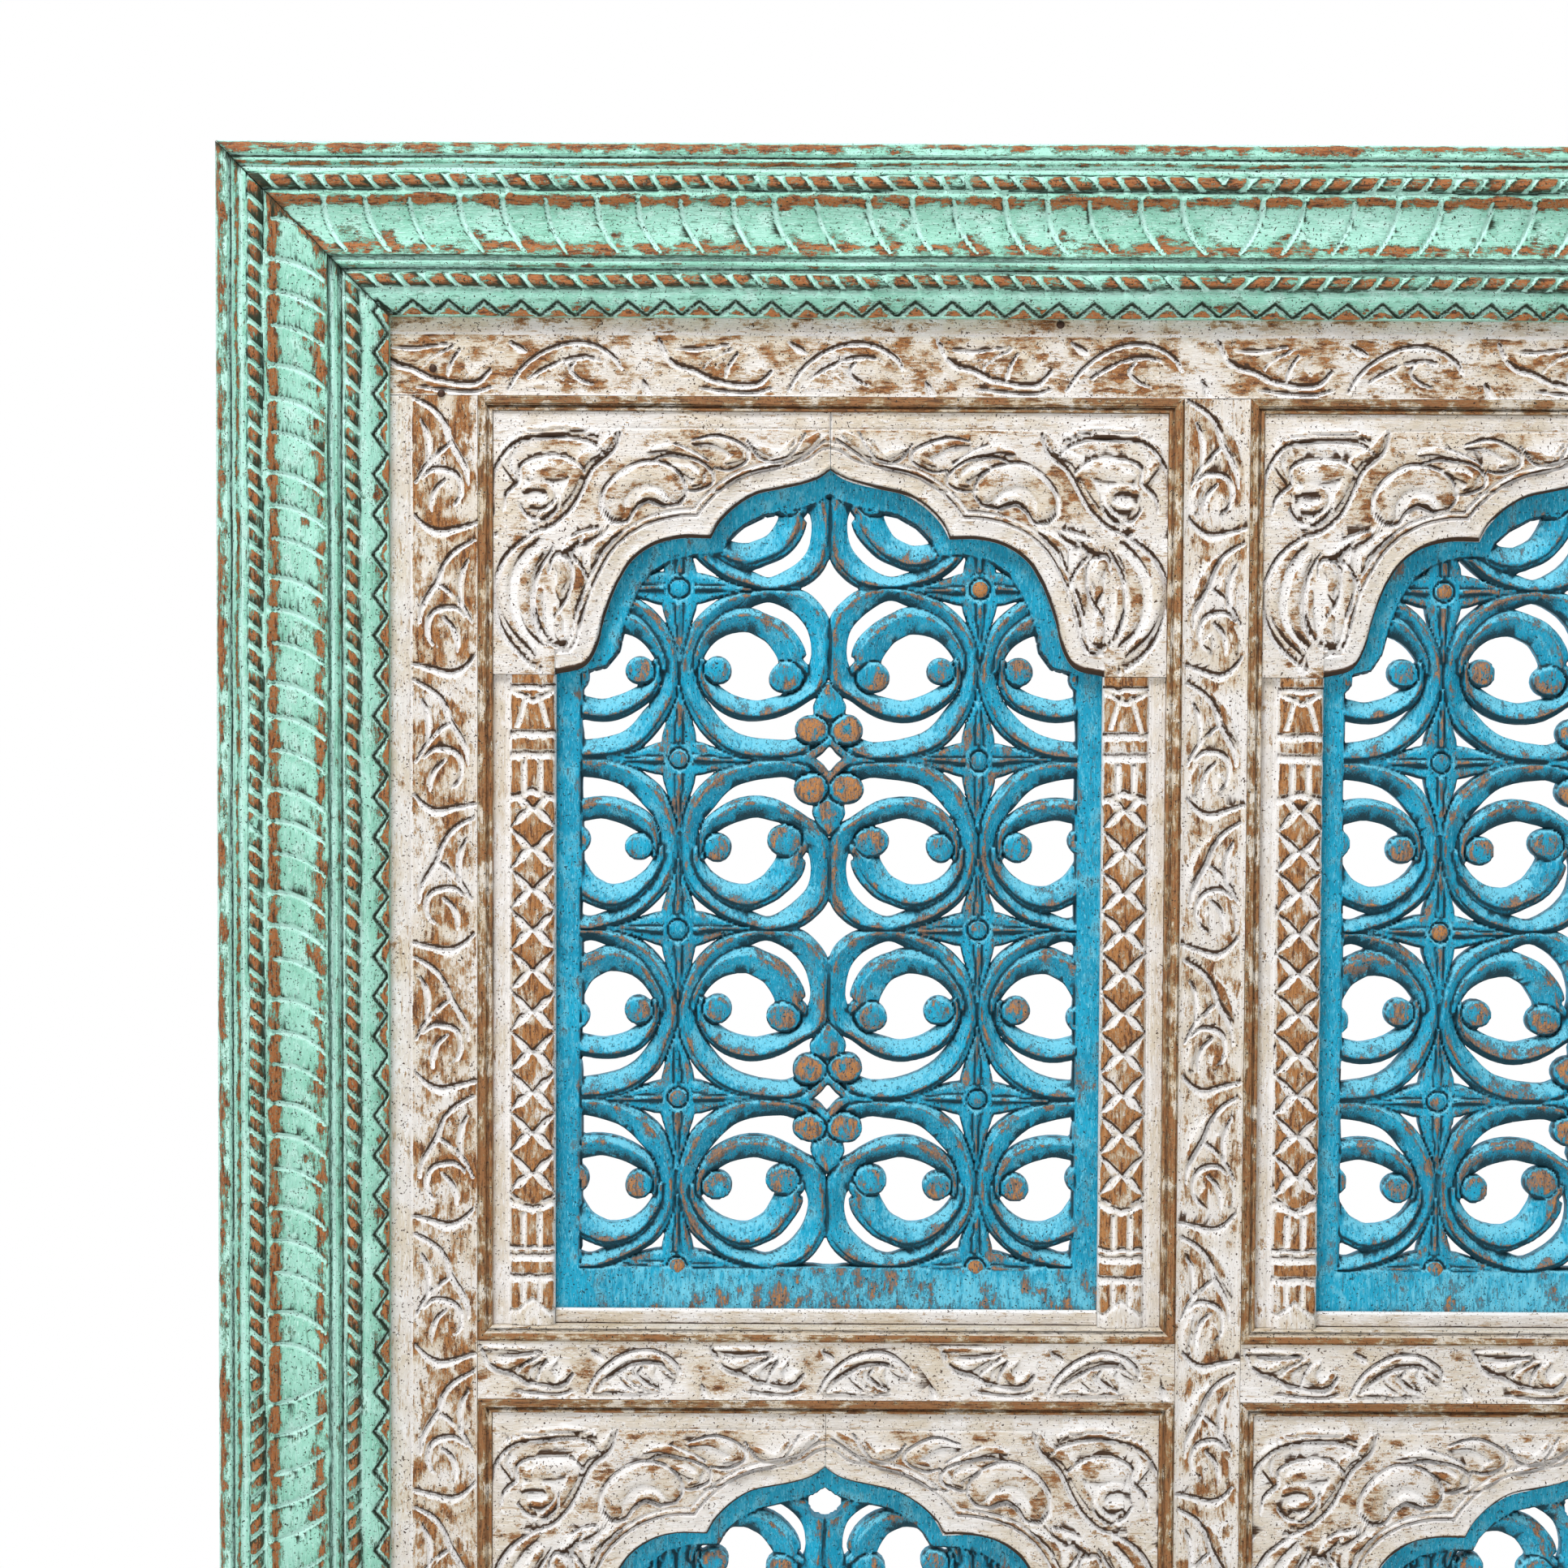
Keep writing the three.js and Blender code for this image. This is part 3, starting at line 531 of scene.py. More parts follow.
for dx, dy in ((1, 0), (0, 1)):
    for corner in (-1, 1):
        away = dy * (1 if corner < 0 else -1)
        arm = [(-46.25 + dx * d, corner * 52.5 + away * d, w) for d, _, w in star_arm]
        across, half, _, _ = against(tx, ty, arm)
        top = np.interp(np.abs(across) / half, *arm_profile)
        lay(half - np.abs(across), top, 0.3 + 0.1 * (np.abs(across) / half < 0.2))
for corner in (-1, 1):
    from_star = np.hypot(tx + 46.25, ty - corner * 52.5)
    lay(9.3 - from_star, 14.4 - 2.2 * np.clip(1 - np.abs(from_star - 6.2) / 1.1, 0, 1), 0, 0.6)
for cx, cy, radius in webs:
    lay(radius - np.hypot(tx - cx, ty - cy), 11.6)
for pairs in (great_scroll, upper_scroll):
    across, half, _, _ = against(tx, ty, scroll_stroke(pairs))
    rim = 0.5 - 0.5 * across / half
    lay(half - np.abs(across), np.interp(rim, *scroll_profile), np.interp(rim, *scroll_wear))
across, half, _, _ = against(tx, ty, heart_bar)
lay(half - np.abs(across), 15.8 - 1.9 * (across / half) ** 2, 0.35)
across, half, _, _ = against(tx, ty, heart_spear)
rise = np.abs(across) / half
base = np.clip((ty + 28.5 - 0.35 * np.abs(tx - 46.25)) / 1.2, 0, 1)
lay(half - np.abs(across), 16.7 - 2.4 * rise ** 2 - 2.6 * (1 - base), 0.42 * (rise < 0.6) * base)
for cx, cy, rx, ry in discs:
    share = np.hypot((tx - cx) / rx, (ty - cy) / ry)
    heart = cy < -20
    top = 17.0 - 2.2 * share ** 4 - (0.0 if heart else 0.8)
    lay((1 - share) * min(rx, ry), top, (0.72 if heart else 0.5) * np.clip((0.92 - share) / 0.2, 0, 1), 1.8)
shape = (len(tile_y), len(tile_x))
tile = {key: values.reshape(shape) for key, values in tile.items()}


def from_ring(key, x, y):
    """The ring's own field at points measured from its centre."""
    u = np.clip((x + ring_across / 2) / step, 0, shape[1] - 1.001)
    v = np.clip((y + ring_up / 2) / step, 0, shape[0] - 1.001)
    i, j = v.astype(int), u.astype(int)
    fu, fv = u - j, v - i
    t = tile[key]
    low = t[i, j] * (1 - fu) + t[i, j + 1] * fu
    return low * (1 - fv) + (t[i + 1, j] * (1 - fu) + t[i + 1, j + 1] * fu) * fv


arch_shares = [
    (-1, 0), (-0.9, 0.035), (-0.852, 0.13), (-0.828, 0.26), (-0.8, 0.37), (-0.776, 0.446),
    (-0.725, 0.553), (-0.645, 0.63), (-0.545, 0.665), (-0.436, 0.665), (-0.405, 0.74), (-0.345, 0.82),
    (-0.27, 0.88), (-0.179, 0.908), (-0.105, 0.93), (-0.045, 0.958), (0, 1),
]
half_span, rise_up, springing = 167.5, 125.5, 120.5


def arch_line(half, rise):
    """The arch from the left springing over the apex to the right one, in mm from the window's centre."""
    left = [(x * half, springing + y * rise) for x, y in arch_shares]
    return np.array(left + [(-x, y) for x, y in left[-2::-1]])


def distance_to(x, y, line):
    """Distance from each point to a line of straight spans, in mm."""
    nearest = np.full(x.shape, 1e9)
    for (ax, ay), (bx, by) in zip(line, line[1:]):
        ex, ey = bx - ax, by - ay
        t = np.clip(((x - ax) * ex + (y - ay) * ey) / (ex * ex + ey * ey), 0, 1)
        nearest = np.minimum(nearest, np.hypot(x - ax - t * ex, y - ay - t * ey))
    return nearest


def depth_inside(x, y, outline):
    """Signed distance to a closed outline, positive inside."""
    inside = np.zeros(x.shape, bool)
    closed = np.vstack([outline, outline[:1]])
    for (ax, ay), (bx, by) in zip(closed, closed[1:]):
        crosses = (ay > y) != (by > y)
        inside ^= crosses & (x < ax + (y - ay) * (bx - ax) / (by - ay if by != ay else 1))
    nearest = distance_to(x, y, closed)
    return np.where(inside, nearest, -nearest)


def pierced(x, y, solid, front, back, extras):
    """A board over a grid, open where solid is negative and cut at its zero line, as points and faces."""
    kept = solid > 0
    points_x, points_y = [x[kept]], [y[kept]]
    fields = {key: [value[kept]] for key, value in {"front": front, **extras}.items()}
    corner = np.full(solid.shape, -1)
    corner[kept] = np.arange(kept.sum())
    total = kept.sum()
    crossing = {}
    for key, first, second in (("flat", np.s_[:, :-1], np.s_[:, 1:]), ("steep", np.s_[:-1, :], np.s_[1:, :])):
        a, b = solid[first], solid[second]
        cut = kept[first] != kept[second]
        t = np.clip((a / np.where(cut, a - b, 1))[cut], 0.06, 0.94)
        numbers = np.full(cut.shape, -1)
        numbers[cut] = total + np.arange(cut.sum())
        total += cut.sum()
        crossing[key] = numbers
        points_x.append(x[first][cut] * (1 - t) + x[second][cut] * t)
        points_y.append(y[first][cut] * (1 - t) + y[second][cut] * t)
        for name, value in {"front": front, **extras}.items():
            fields[name].append(value[first][cut] * (1 - t) + value[second][cut] * t)
    px, py = np.concatenate(points_x), np.concatenate(points_y)
    fields = {key: np.concatenate(value) for key, value in fields.items()}
    c = [corner[:-1, :-1], corner[:-1, 1:], corner[1:, 1:], corner[1:, :-1]]
    e = [crossing["flat"][:-1], crossing["steep"][:, 1:], crossing["flat"][1:], crossing["steep"][:, :-1]]
    # Which of a cell's corners are wood gives its outlines, through corners c and crossings e of its edges
    code = sum((c[k] >= 0) * 2 ** k for k in range(4))
    cases = {
        1: ["c0e0e3"], 2: ["c1e1e0"], 3: ["c0c1e1e3"], 4: ["c2e2e1"], 5: ["c0e0e3", "c2e2e1"],
        6: ["c1c2e2e0"], 7: ["c0c1c2e2e3"], 8: ["c3e3e2"], 9: ["c0e0e2c3"], 10: ["c1e1e0", "c3e3e2"],
        11: ["c0c1e1e2c3"], 12: ["c2c3e3e1"], 13: ["c0e0e1c2c3"], 14: ["c1c2c3e3e0"], 15: ["c0c1c2c3"],
    }
    faces = []
    behind = total
    for number, outlines in cases.items():
        cells = code == number
        if not cells.any():
            continue
        for outline in outlines:
            names = [outline[k:k + 2] for k in range(0, len(outline), 2)]
            ring = np.stack([(c if n[0] == "c" else e)[int(n[1])][cells] for n in names], 1)
            faces += ring.tolist() + (ring[:, ::-1] + behind).tolist()
            for k, name in enumerate(names):
                after = (k + 1) % len(names)
                if name[0] == "e" and names[after][0] == "e":
                    a, b = ring[:, k], ring[:, after]
                    faces += np.stack([b, a, a + behind, b + behind], 1).tolist()
    for edge in (corner[0], corner[:, -1], corner[-1, ::-1], corner[::-1, 0]):
        a, b = edge[:-1], edge[1:]
        faces += np.stack([b, a, a + behind, b + behind], 1).tolist()
    top = np.stack([px, -fields["front"], py], 1)
    under = np.stack([px, np.full(px.shape, -float(back)), py], 1)
    marks = {key: np.concatenate([fields[key], np.zeros(len(px))]) for key in extras}
    return np.vstack([top, under]), faces, marks


# name, centre across and up, rings' spacing up, whether the lowest row stands with its hearts up
foot = -246.5
windows = [("upper_left", -235, 308, 105.0, True), ("upper_right", 235, 308, 105.0, True),
           ("lower_left", -235, -308, 95.3, False), ("lower_right", 235, -308, 95.3, False)]
fine = 1.25
# Half the opening that a lattice and its mouldings fill
opening_x, opening_z = 214.7, 289.7
grid_x, grid_y = np.meshgrid(
    [-opening_x, -200, -185, -172, *np.arange(-160, 160.01, fine), 172, 185, 200, opening_x],
    [-opening_z, -284, -278, -268, -258, *np.arange(-252, 243, fine), 252, 262, 275, opening_z],
)
inset = arch_line(half_span - 15, rise_up - 15)
region = np.vstack([[-half_span + 15, foot], inset, [half_span - 15, foot]])
boss_places = []
for number, (name, centre_x, centre_z, pitch, hearts_up) in enumerate(windows):
    # No two scrolls were cut quite alike
    wx = grid_x + 0.55 * ripple(grid_x, grid_y, 46, number)
    wy = grid_y + 0.55 * ripple(grid_x, grid_y, 52, 10 + number)
    column = np.floor(wx / ring_across).clip(-2, 1)
    row = np.floor((wy - foot) / pitch).clip(0, 9)
    local_x = wx - (column + 0.5) * ring_across
    local_y = (wy - foot - (row + 0.5) * pitch) * ring_up / pitch
    local_x = np.where((column == -1) | (column == 1), local_x, -local_x)
    row_up = (row % 2 == 0) == hearts_up
    local_y = np.where(row_up, -local_y, local_y)
    solid = from_ring("wood", local_x, local_y)
    height = from_ring("height", local_x, local_y)
    bare = from_ring("bare", local_x, local_y)
    room = depth_inside(wx, wy, region)
    rim = np.clip(-room / 1.4, 0, 1)
    border = 16.0 - 1.9 * (1 - rim) ** 1.5
    height = np.where(room > 0, height, border)
    bare = np.where(room > 0, bare, 0)
    solid = np.where(room > 0, np.maximum(solid, 0.9 - room), np.maximum(solid, -room))
    if not hearts_up:
        top_hole = foot + 5 * pitch
        gap = 1.6 - 0.16 * np.hypot(wx * 0.92, wy - top_hole + 9)
        solid = np.where((room > 0) & (gap > 0) & (wy > top_hole - 26), np.minimum(solid, -gap * 4), solid)
    height = height + 0.12 * ripple(grid_x, grid_y, 17, 20 + number)
    marks = relief_marks(np.where(solid > 0, height, 9.5), fine, (0, 1), 5, 1.8)
    at_foot = np.clip((foot + 2 - wy) / 14, 0, 1) * np.clip((wx + 150) / 60, 0, 1)
    bare = bare + (room < 0) * (0.12 + 0.32 * at_foot)
    marks["dusty"] = np.maximum(marks["dusty"], 0.55 * at_foot * (room < 0))
    # Painted shade: darker in the low places between the scrolls
    marks["dark"] = np.maximum(marks["dark"], relief_marks(height, fine, (0, 1), 2, 0.7)["sunk"])
    marks["bare"] = bare
    points, faces, marks = pierced(grid_x, grid_y, solid, height, 3, marks)
    points += (centre_x, 0, centre_z)
    keep = (62000 if number else 84000) / (2.0 * len(faces))
    piece = piece_from(f"lattice_{name}_carved", points, faces, marks, blue_paint,
                       keep, 30)
    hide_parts("lattice_" + name)
    for k in range(6):
        z = foot + k * pitch
        for side in (-1, 1):
            if depth_inside(np.array([side * ring_across]), np.array([z]), region)[0] > -3:
                boss_places.append((centre_x + side * ring_across, -14.2, centre_z + z))


# Star bosses: a turned peg head, 10 mm across, in the middle of each four-armed star of the lattices; those
# on the bottom border show as half stars. With them the nails: hand-cut iron heads in the white boards.

def tree_socket(tree, name, kind, default=None, way="INPUT"):
    socket = tree.interface.new_socket(name=name, in_out=way, socket_type=kind)
    if default is not None:
        socket.default_value = default
    return socket


def studs_tree():
    """Puts one round low head on every point, slightly unequal, and makes them real."""
    tree = bpy.data.node_groups.new("round heads on points", "GeometryNodeTree")
    tree_socket(tree, "Geometry", "NodeSocketGeometry")
    tree_socket(tree, "Radius", "NodeSocketFloat", 0.005)
    tree_socket(tree, "Height", "NodeSocketFloat", 0.003)
    tree_socket(tree, "Unevenness", "NodeSocketFloat", 0.08)
    tree_socket(tree, "Finish", "NodeSocketMaterial")
    tree_socket(tree, "Geometry", "NodeSocketGeometry", way="OUTPUT")
    given = add(tree, "NodeGroupInput").outputs
    ball = add(tree, "GeometryNodeMeshUVSphere", i0=14, i1=9, i2=1.0)
    radius, rise = given["Radius"], given["Height"]
    stretch = add(tree, "ShaderNodeCombineXYZ", [(0, radius), (1, rise), (2, radius)])
    turned = add(tree, "GeometryNodeTransform", [(0, ball.outputs[0])], i2=(math.pi / 2, 0, 0))
    head = add(tree, "GeometryNodeTransform", [(0, turned.outputs[0]), (3, stretch.outputs[0])])
    least = add(tree, "ShaderNodeMath", [(1, given["Unevenness"])], operation="SUBTRACT", i0=1.0)
    size = add(tree, "FunctionNodeRandomValue", [(2, least.outputs[0])], data_type="FLOAT", i3=1.0, i8=11)
    heads = add(tree, "GeometryNodeInstanceOnPoints", [(0, given["Geometry"]), (2, head.outputs[0]),
                                                       (6, size.outputs[1])])
    real = add(tree, "GeometryNodeRealizeInstances", [(0, heads.outputs[0])])
    smooth = add(tree, "GeometryNodeSetShadeSmooth", [(0, real.outputs[0])])
    dressed = add(tree, "GeometryNodeSetMaterial", [(0, smooth.outputs[0]), (2, given["Finish"])])
    add(tree, "NodeGroupOutput", [(0, dressed.outputs[0])])
    return tree


def grown(name, base, tree, slot, **inputs):
    """Runs a node tree on a mesh and keeps the result as a plain mesh piece."""
    piece = bpy.data.objects.new(name, base)
    scene.collection.objects.link(piece)
    build = piece.modifiers.new("build", "NODES")
    build.node_group = tree
    for socket in tree.interface.items_tree:
        key = socket.name.replace(" ", "_").lower()
        if socket.in_out == "INPUT" and key in inputs:
            build[socket.identifier] = inputs[key]
    settle(piece, build)
    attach(piece, "root")
    return piece


def points_mesh(name, places):
    mesh = bpy.data.meshes.new(name)
    mesh.from_pydata([tuple(v / 1000 for v in place) for place in places], [], [])
    return mesh


heads = studs_tree()
bosses = grown("star_bosses", points_mesh("bosses", boss_places), heads, "pierced_blue_lattice",
               radius=0.0052, height=0.0028, unevenness=0.1, finish=blue_paint)
# The paint is rubbed off most of the heads, off each to its own degree
worn = np.random.default_rng(5).uniform(0.2, 0.9, len(boss_places))
worn = np.repeat(worn, len(bosses.data.vertices) // len(boss_places))
bosses.data.attributes.new("bare", "FLOAT", "POINT").data.foreach_set("value", worn.astype(np.float32))

# Wrought iron, oxidised dark brown in mottled tones: dull and faintly metallic
iron = bpy.data.materials.new("oxidised_wrought_iron")
iron.use_nodes = True
iron_shader = iron.node_tree.nodes["Principled BSDF"]
iron_place = add(iron.node_tree, "ShaderNodeTexCoord").outputs["Object"]
scale_bits = add(iron.node_tree, "ShaderNodeTexNoise", [(0, iron_place)], i2=900, i3=3)
iron_tone = add(iron.node_tree, "ShaderNodeMix", [(0, scale_bits.outputs[0])], data_type="RGBA")
iron_tone.inputs[6].default_value = linear("#1E1512")
iron_tone.inputs[7].default_value = linear("#5A3A28")
iron.node_tree.links.new(iron_tone.outputs[2], iron_shader.inputs["Base Color"])
iron_shader.inputs["Metallic"].default_value = 0.4
iron_shader.inputs["Roughness"].default_value = 0.6
nail_places = [(-477, -board_face, 614), (-472, -board_face, 598.8), (-96, -board_face, 642)]
grown("corner_nails", points_mesh("nails", nail_places), heads, "carved_whitewash",
      radius=0.0026, height=0.0016, unevenness=0.15, finish=iron)


# Spandrels: two 10 mm boards meet over each arch. The cusped edge is a low rounded rim behind two cut lines,
# and the field above it holds a scrolled leaf and a fan of petals. Limewashed and rubbed like the frame.

# Petals and cuts from the springing at the window's centre: x left of it, z above it, half width, in mm
field_petals = [
    [(-193, 118, 1), (-199, 132, 3.2), (-190, 143, 4.0), (-172, 148, 3.6), (-154, 149, 2.4),
     (-142, 146, 0.6)],
    [(-183, 121, 4), (-170, 124, 6.5), (-158, 125, 5.0), (-150, 122, 1)],
    [(-187, 112, 2), (-180, 115, 3.4), (-172, 113, 3.0), (-170, 107, 2.4), (-176, 103, 2.6),
     (-183, 103, 1.6)],
    [(-132, 148, 0.8), (-139, 138, 3.0), (-150, 131, 3.4), (-160, 112, 3.2), (-170, 99, 2.6),
     (-182, 92, 0.8)],
    [(-130, 99, 4.6), (-131, 109, 7.0), (-124, 119, 7.2), (-113, 123, 7.4), (-101, 119, 7.0),
     (-95, 111, 5.6)],
    [(-118, 104, 0.8), (-113, 109, 2.6), (-106, 108, 2.4), (-102, 104, 0.8)],
    [(-112, 136, 0.8), (-100, 138, 2.4), (-88, 135, 3.4), (-78, 128, 3.6), (-78, 122, 1.4)],
    [(-97, 127, 0.8), (-88, 124, 2.6), (-80, 119, 3.0), (-84, 116, 1)],
    [(-84, 141, 1.0), (-72, 142, 2.4), (-62, 138, 3.4), (-56, 133, 3.2), (-63, 129, 1.2)],
    [(-47, 139, 0.6), (-38, 136, 2.6), (-31, 135, 2.2), (-24, 144, 0.8)],
    [(-66, 118, 0.8), (-48, 123, 2.2), (-34, 130, 3.0), (-20, 139, 3.6), (-8, 147, 1.6)],
    [(-178, 84, 1.2), (-190, 74, 3.0), (-198, 60, 3.8), (-199, 44, 3.4), (-193, 28, 2.4),
     (-180, 14, 0.8)],
    [(-176, 75, 1.6), (-184, 62, 3.6), (-187, 45, 4.0), (-184, 30, 3.0), (-177, 21, 1)],
    [(-166, 67, 3.2), (-163, 60, 3.8), (-165, 52, 2.4), (-163, 46, 1)],
    [(-177, 52, 2.2), (-178, 44, 3.0), (-176, 34, 2.0), (-173, 24, 0.8)],
    [(-167, 41, 1.8), (-165, 34, 3.0), (-165, 26, 3.2), (-161, 18, 2.4), (-155, 14, 1)],
    [(-152, 74, 1), (-153, 62, 3.2), (-154, 48, 3.8), (-152, 34, 3.0), (-147, 24, 1)],
    [(-137, 90, 1), (-147, 84, 2.6), (-157, 80, 3.0), (-164, 74, 1)],
    [(-145, 66, 0.8), (-143, 76, 2.4), (-134, 84, 2.4), (-122, 90, 0.8)],
]
field_cuts = [
    [(-196, 143, 0.5), (-186, 147, 1.0), (-165, 149, 1.2), (-146, 148, 0.5)],
    [(-206, 98, 0.6), (-207, 112, 1.3), (-203, 128, 1.5), (-191, 141, 1.5), (-170, 145, 1.4),
     (-148, 142, 1.0), (-139, 135, 0.6)],
    [(-200, 100, 0.6), (-198, 110, 1.2), (-190, 118, 1.2), (-190, 127, 1.2), (-178, 133, 1.2),
     (-160, 133, 1.1), (-149, 125, 0.6)],
    [(-129, 148, 0.8), (-133, 137, 1.5), (-145, 126, 1.6), (-153, 110, 1.8), (-160, 99, 1.6),
     (-172, 89, 1.2), (-186, 87, 0.5)],
    [(-190, 103, 0.6), (-184, 96, 1.2), (-174, 95, 1.2), (-166, 102, 1.2), (-165, 110, 0.6)],
    [(-133, 93, 0.8), (-139, 101, 1.5), (-138, 112, 1.8), (-129, 123, 2.2), (-116, 130, 2.0),
     (-102, 129, 1.4), (-92, 123, 1.0), (-88, 112, 1.0), (-93, 104, 0.8)],
    [(-133, 93, 0.8), (-124, 94, 1.2), (-119, 101, 1.4), (-112, 106, 1.4), (-102, 103, 1.2),
     (-92, 104, 0.6)],
    [(-110, 131, 0.6), (-98, 134, 1.2), (-82, 131, 1.2), (-72, 124, 1.3), (-72, 117, 1.2),
     (-82, 113, 1.0), (-90, 113, 0.6)],
    [(-96, 141, 0.6), (-84, 136, 1.2), (-74, 130, 0.6)],
    [(-84, 143, 0.6), (-68, 146, 1.1), (-52, 139, 1.3), (-50, 131, 1.2), (-61, 125, 1.0),
     (-71, 126, 0.6)],
    [(-50, 142, 0.6), (-42, 132, 1.2), (-30, 131, 1.2), (-22, 139, 1.2), (-17, 148, 0.6)],
    [(-75, 112, 0.6), (-58, 115, 1.2), (-40, 121, 1.2), (-22, 131, 1.5), (-4, 144, 0.8)],
    [(-172, 90, 0.6), (-184, 84, 1.2), (-197, 73, 1.6), (-205, 57, 1.6), (-205, 42, 1.6),
     (-199, 24, 1.6), (-186, 9, 1.2), (-176, 3, 0.6)],
    [(-170, 76, 0.6), (-177, 64, 1.2), (-180, 54, 1.4), (-180, 40, 1.1), (-176, 24, 0.5)],
    [(-172, 62, 0.6), (-169, 72, 1.2), (-160, 71, 1.2), (-157, 60, 1.2), (-160, 47, 1.1),
     (-168, 34, 0.5)],
    [(-150, 84, 0.6), (-158, 74, 1.3), (-152, 66, 1.2), (-146, 52, 1.2), (-146, 36, 1.3),
     (-152, 22, 1.2), (-162, 16, 1.1), (-172, 20, 0.6)],
    [(-204, 86, 0.6), (-209, 84, 1.2), (-206, 78, 0.6)],
    [(-136, 90, 0.6), (-150, 88, 1.2), (-158, 84, 0.8)],
]


def arch_height(x):
    """The arch's height above the springing at x mm from the centre, on the smoothed cusps."""
    line = []
    for first, last in ((0, 5), (5, 9), (9, 13), (13, 16)):
        line.append(spline(arch_shares[first:last + 1], 8)[:-1])
    line = np.vstack(line + [[(0, 1)]])
    return np.interp(-np.abs(x) / half_span, line[:, 0], line[:, 1] * rise_up, left=0)


# How deep the glass line lies that spandrels and columns stand on, and half the opening in the mouldings
glass_line, lining = 17.3, 205.7
offsets = np.linspace(lining, 0.15, 172)
offsets = np.sort(np.concatenate([offsets, half_span * np.array([0.776, 0.436, 0.179, 1.0])]))[::-1]
wide_cuts = [[(a, b, 1.3 * w) for a, b, w in stroke] for stroke in field_cuts]
for number, (name, centre_x, centre_z, _, _) in enumerate(windows):
    for hand, side in (("a", -1), ("b", 1)):
        low = arch_height(offsets)
        share = np.linspace(0, 1, 96) ** 0.9
        z = low[:, None] + share[None, :] * (160.2 - low[:, None])
        x = np.repeat(-offsets[:, None], z.shape[1], 1)
        seed = number * 2 + (side > 0)
        wx = x + 0.7 * ripple(x, z, 60, seed)
        wz = z + 0.7 * ripple(x, z, 55, 30 + seed)
        edge_line = np.array([*zip(-offsets, low), (30, rise_up)])
        near = np.where(x < -half_span, 99, distance_to(x, z, edge_line))
        reach = np.abs(near + 0.35 * ripple(x, z, 70, 60 + seed))
        height = 27.3 + 0.3 * ripple(x, z, 60, 80 + seed)
        height = carve(wx, wz, height, wide_cuts, (0, 1), cut=3.2)
        bare = 0.28 - 0.8 * np.clip((26.6 - height) / 0.9, 0, 1)
        before = height
        height = carve(wx, wz, height, field_petals[11:], (0, 1), top=2.6)
        bare = np.where(height > before + 0.4, 0.5, bare)
        height = carve(wx, wz, height, field_petals[:11], (0, 1), top=2.6)
        height -= 0.8 * np.clip(1 - np.abs(z - 150) / 1.1, 0, 1) * (x > -132)
        rim = 27.3 - 1.4 * np.clip(1 - np.abs(reach - 5) / 6, 0, 1) - 0.5
        rim = np.minimum(rim, 20.5 + 6.6 * np.sqrt(np.clip(reach / 3.2, 0, 1)))
        height = np.where(reach < 12.6, rim, height)
        bare = np.where((reach < 12) | (z > 151) | (x < -195), 0.0, bare)
        for at, deep in ((12.8, 2.4), (16.6, 1.5)):
            beside = np.abs(reach - at)
            height = np.minimum(height, 27.0 - deep * np.clip(1 - beside / 1.3, 0, 1) + 3 * (beside > 1.3))
        if number == 0:
            crack = np.clip(1 - np.abs(x + 0.6 + 0.3 * ripple(x, z, 20, 3)) / 0.8, 0, 1) * (z > 126)
            height -= 1.6 * crack
        height = np.minimum(height, 30.2)
        px = centre_x + side * -x
        pz = centre_z + springing + z
        rings = with_back(np.stack([px, -height, pz], -1), glass_line)
        piece = lofted(f"spandrel_{name}_{hand}_carved", rings, marks_of(height, 1.2, (1, 1), bare),
                       whitewash["across"], 0.36 if number else 0.6)
        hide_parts(f"spandrel_{name}_{hand}")


# Columns: a half-round carved pilaster beside a plain strip, 17 mm of wood in front of the lattice. Between
# block capitals with flutes the shaft is cut in crossing bands like fish scales. Limewashed and rubbed.
column_foot, column_top = -280.7, springing - 0.3
tall = column_top - column_foot
z = np.linspace(column_foot, column_top, 330)
outwards = np.linspace(0, 38.2, 40)
# From the window's lining to the shaft's middle, half the shaft's width, and the plain strip's width
shaft_at, shaft_half, strip = 24.4, 13.8, 10.4


def groove(distance, wide, deep):
    return deep * np.clip(1 - np.abs(distance) / wide, 0, 1) ** 0.8


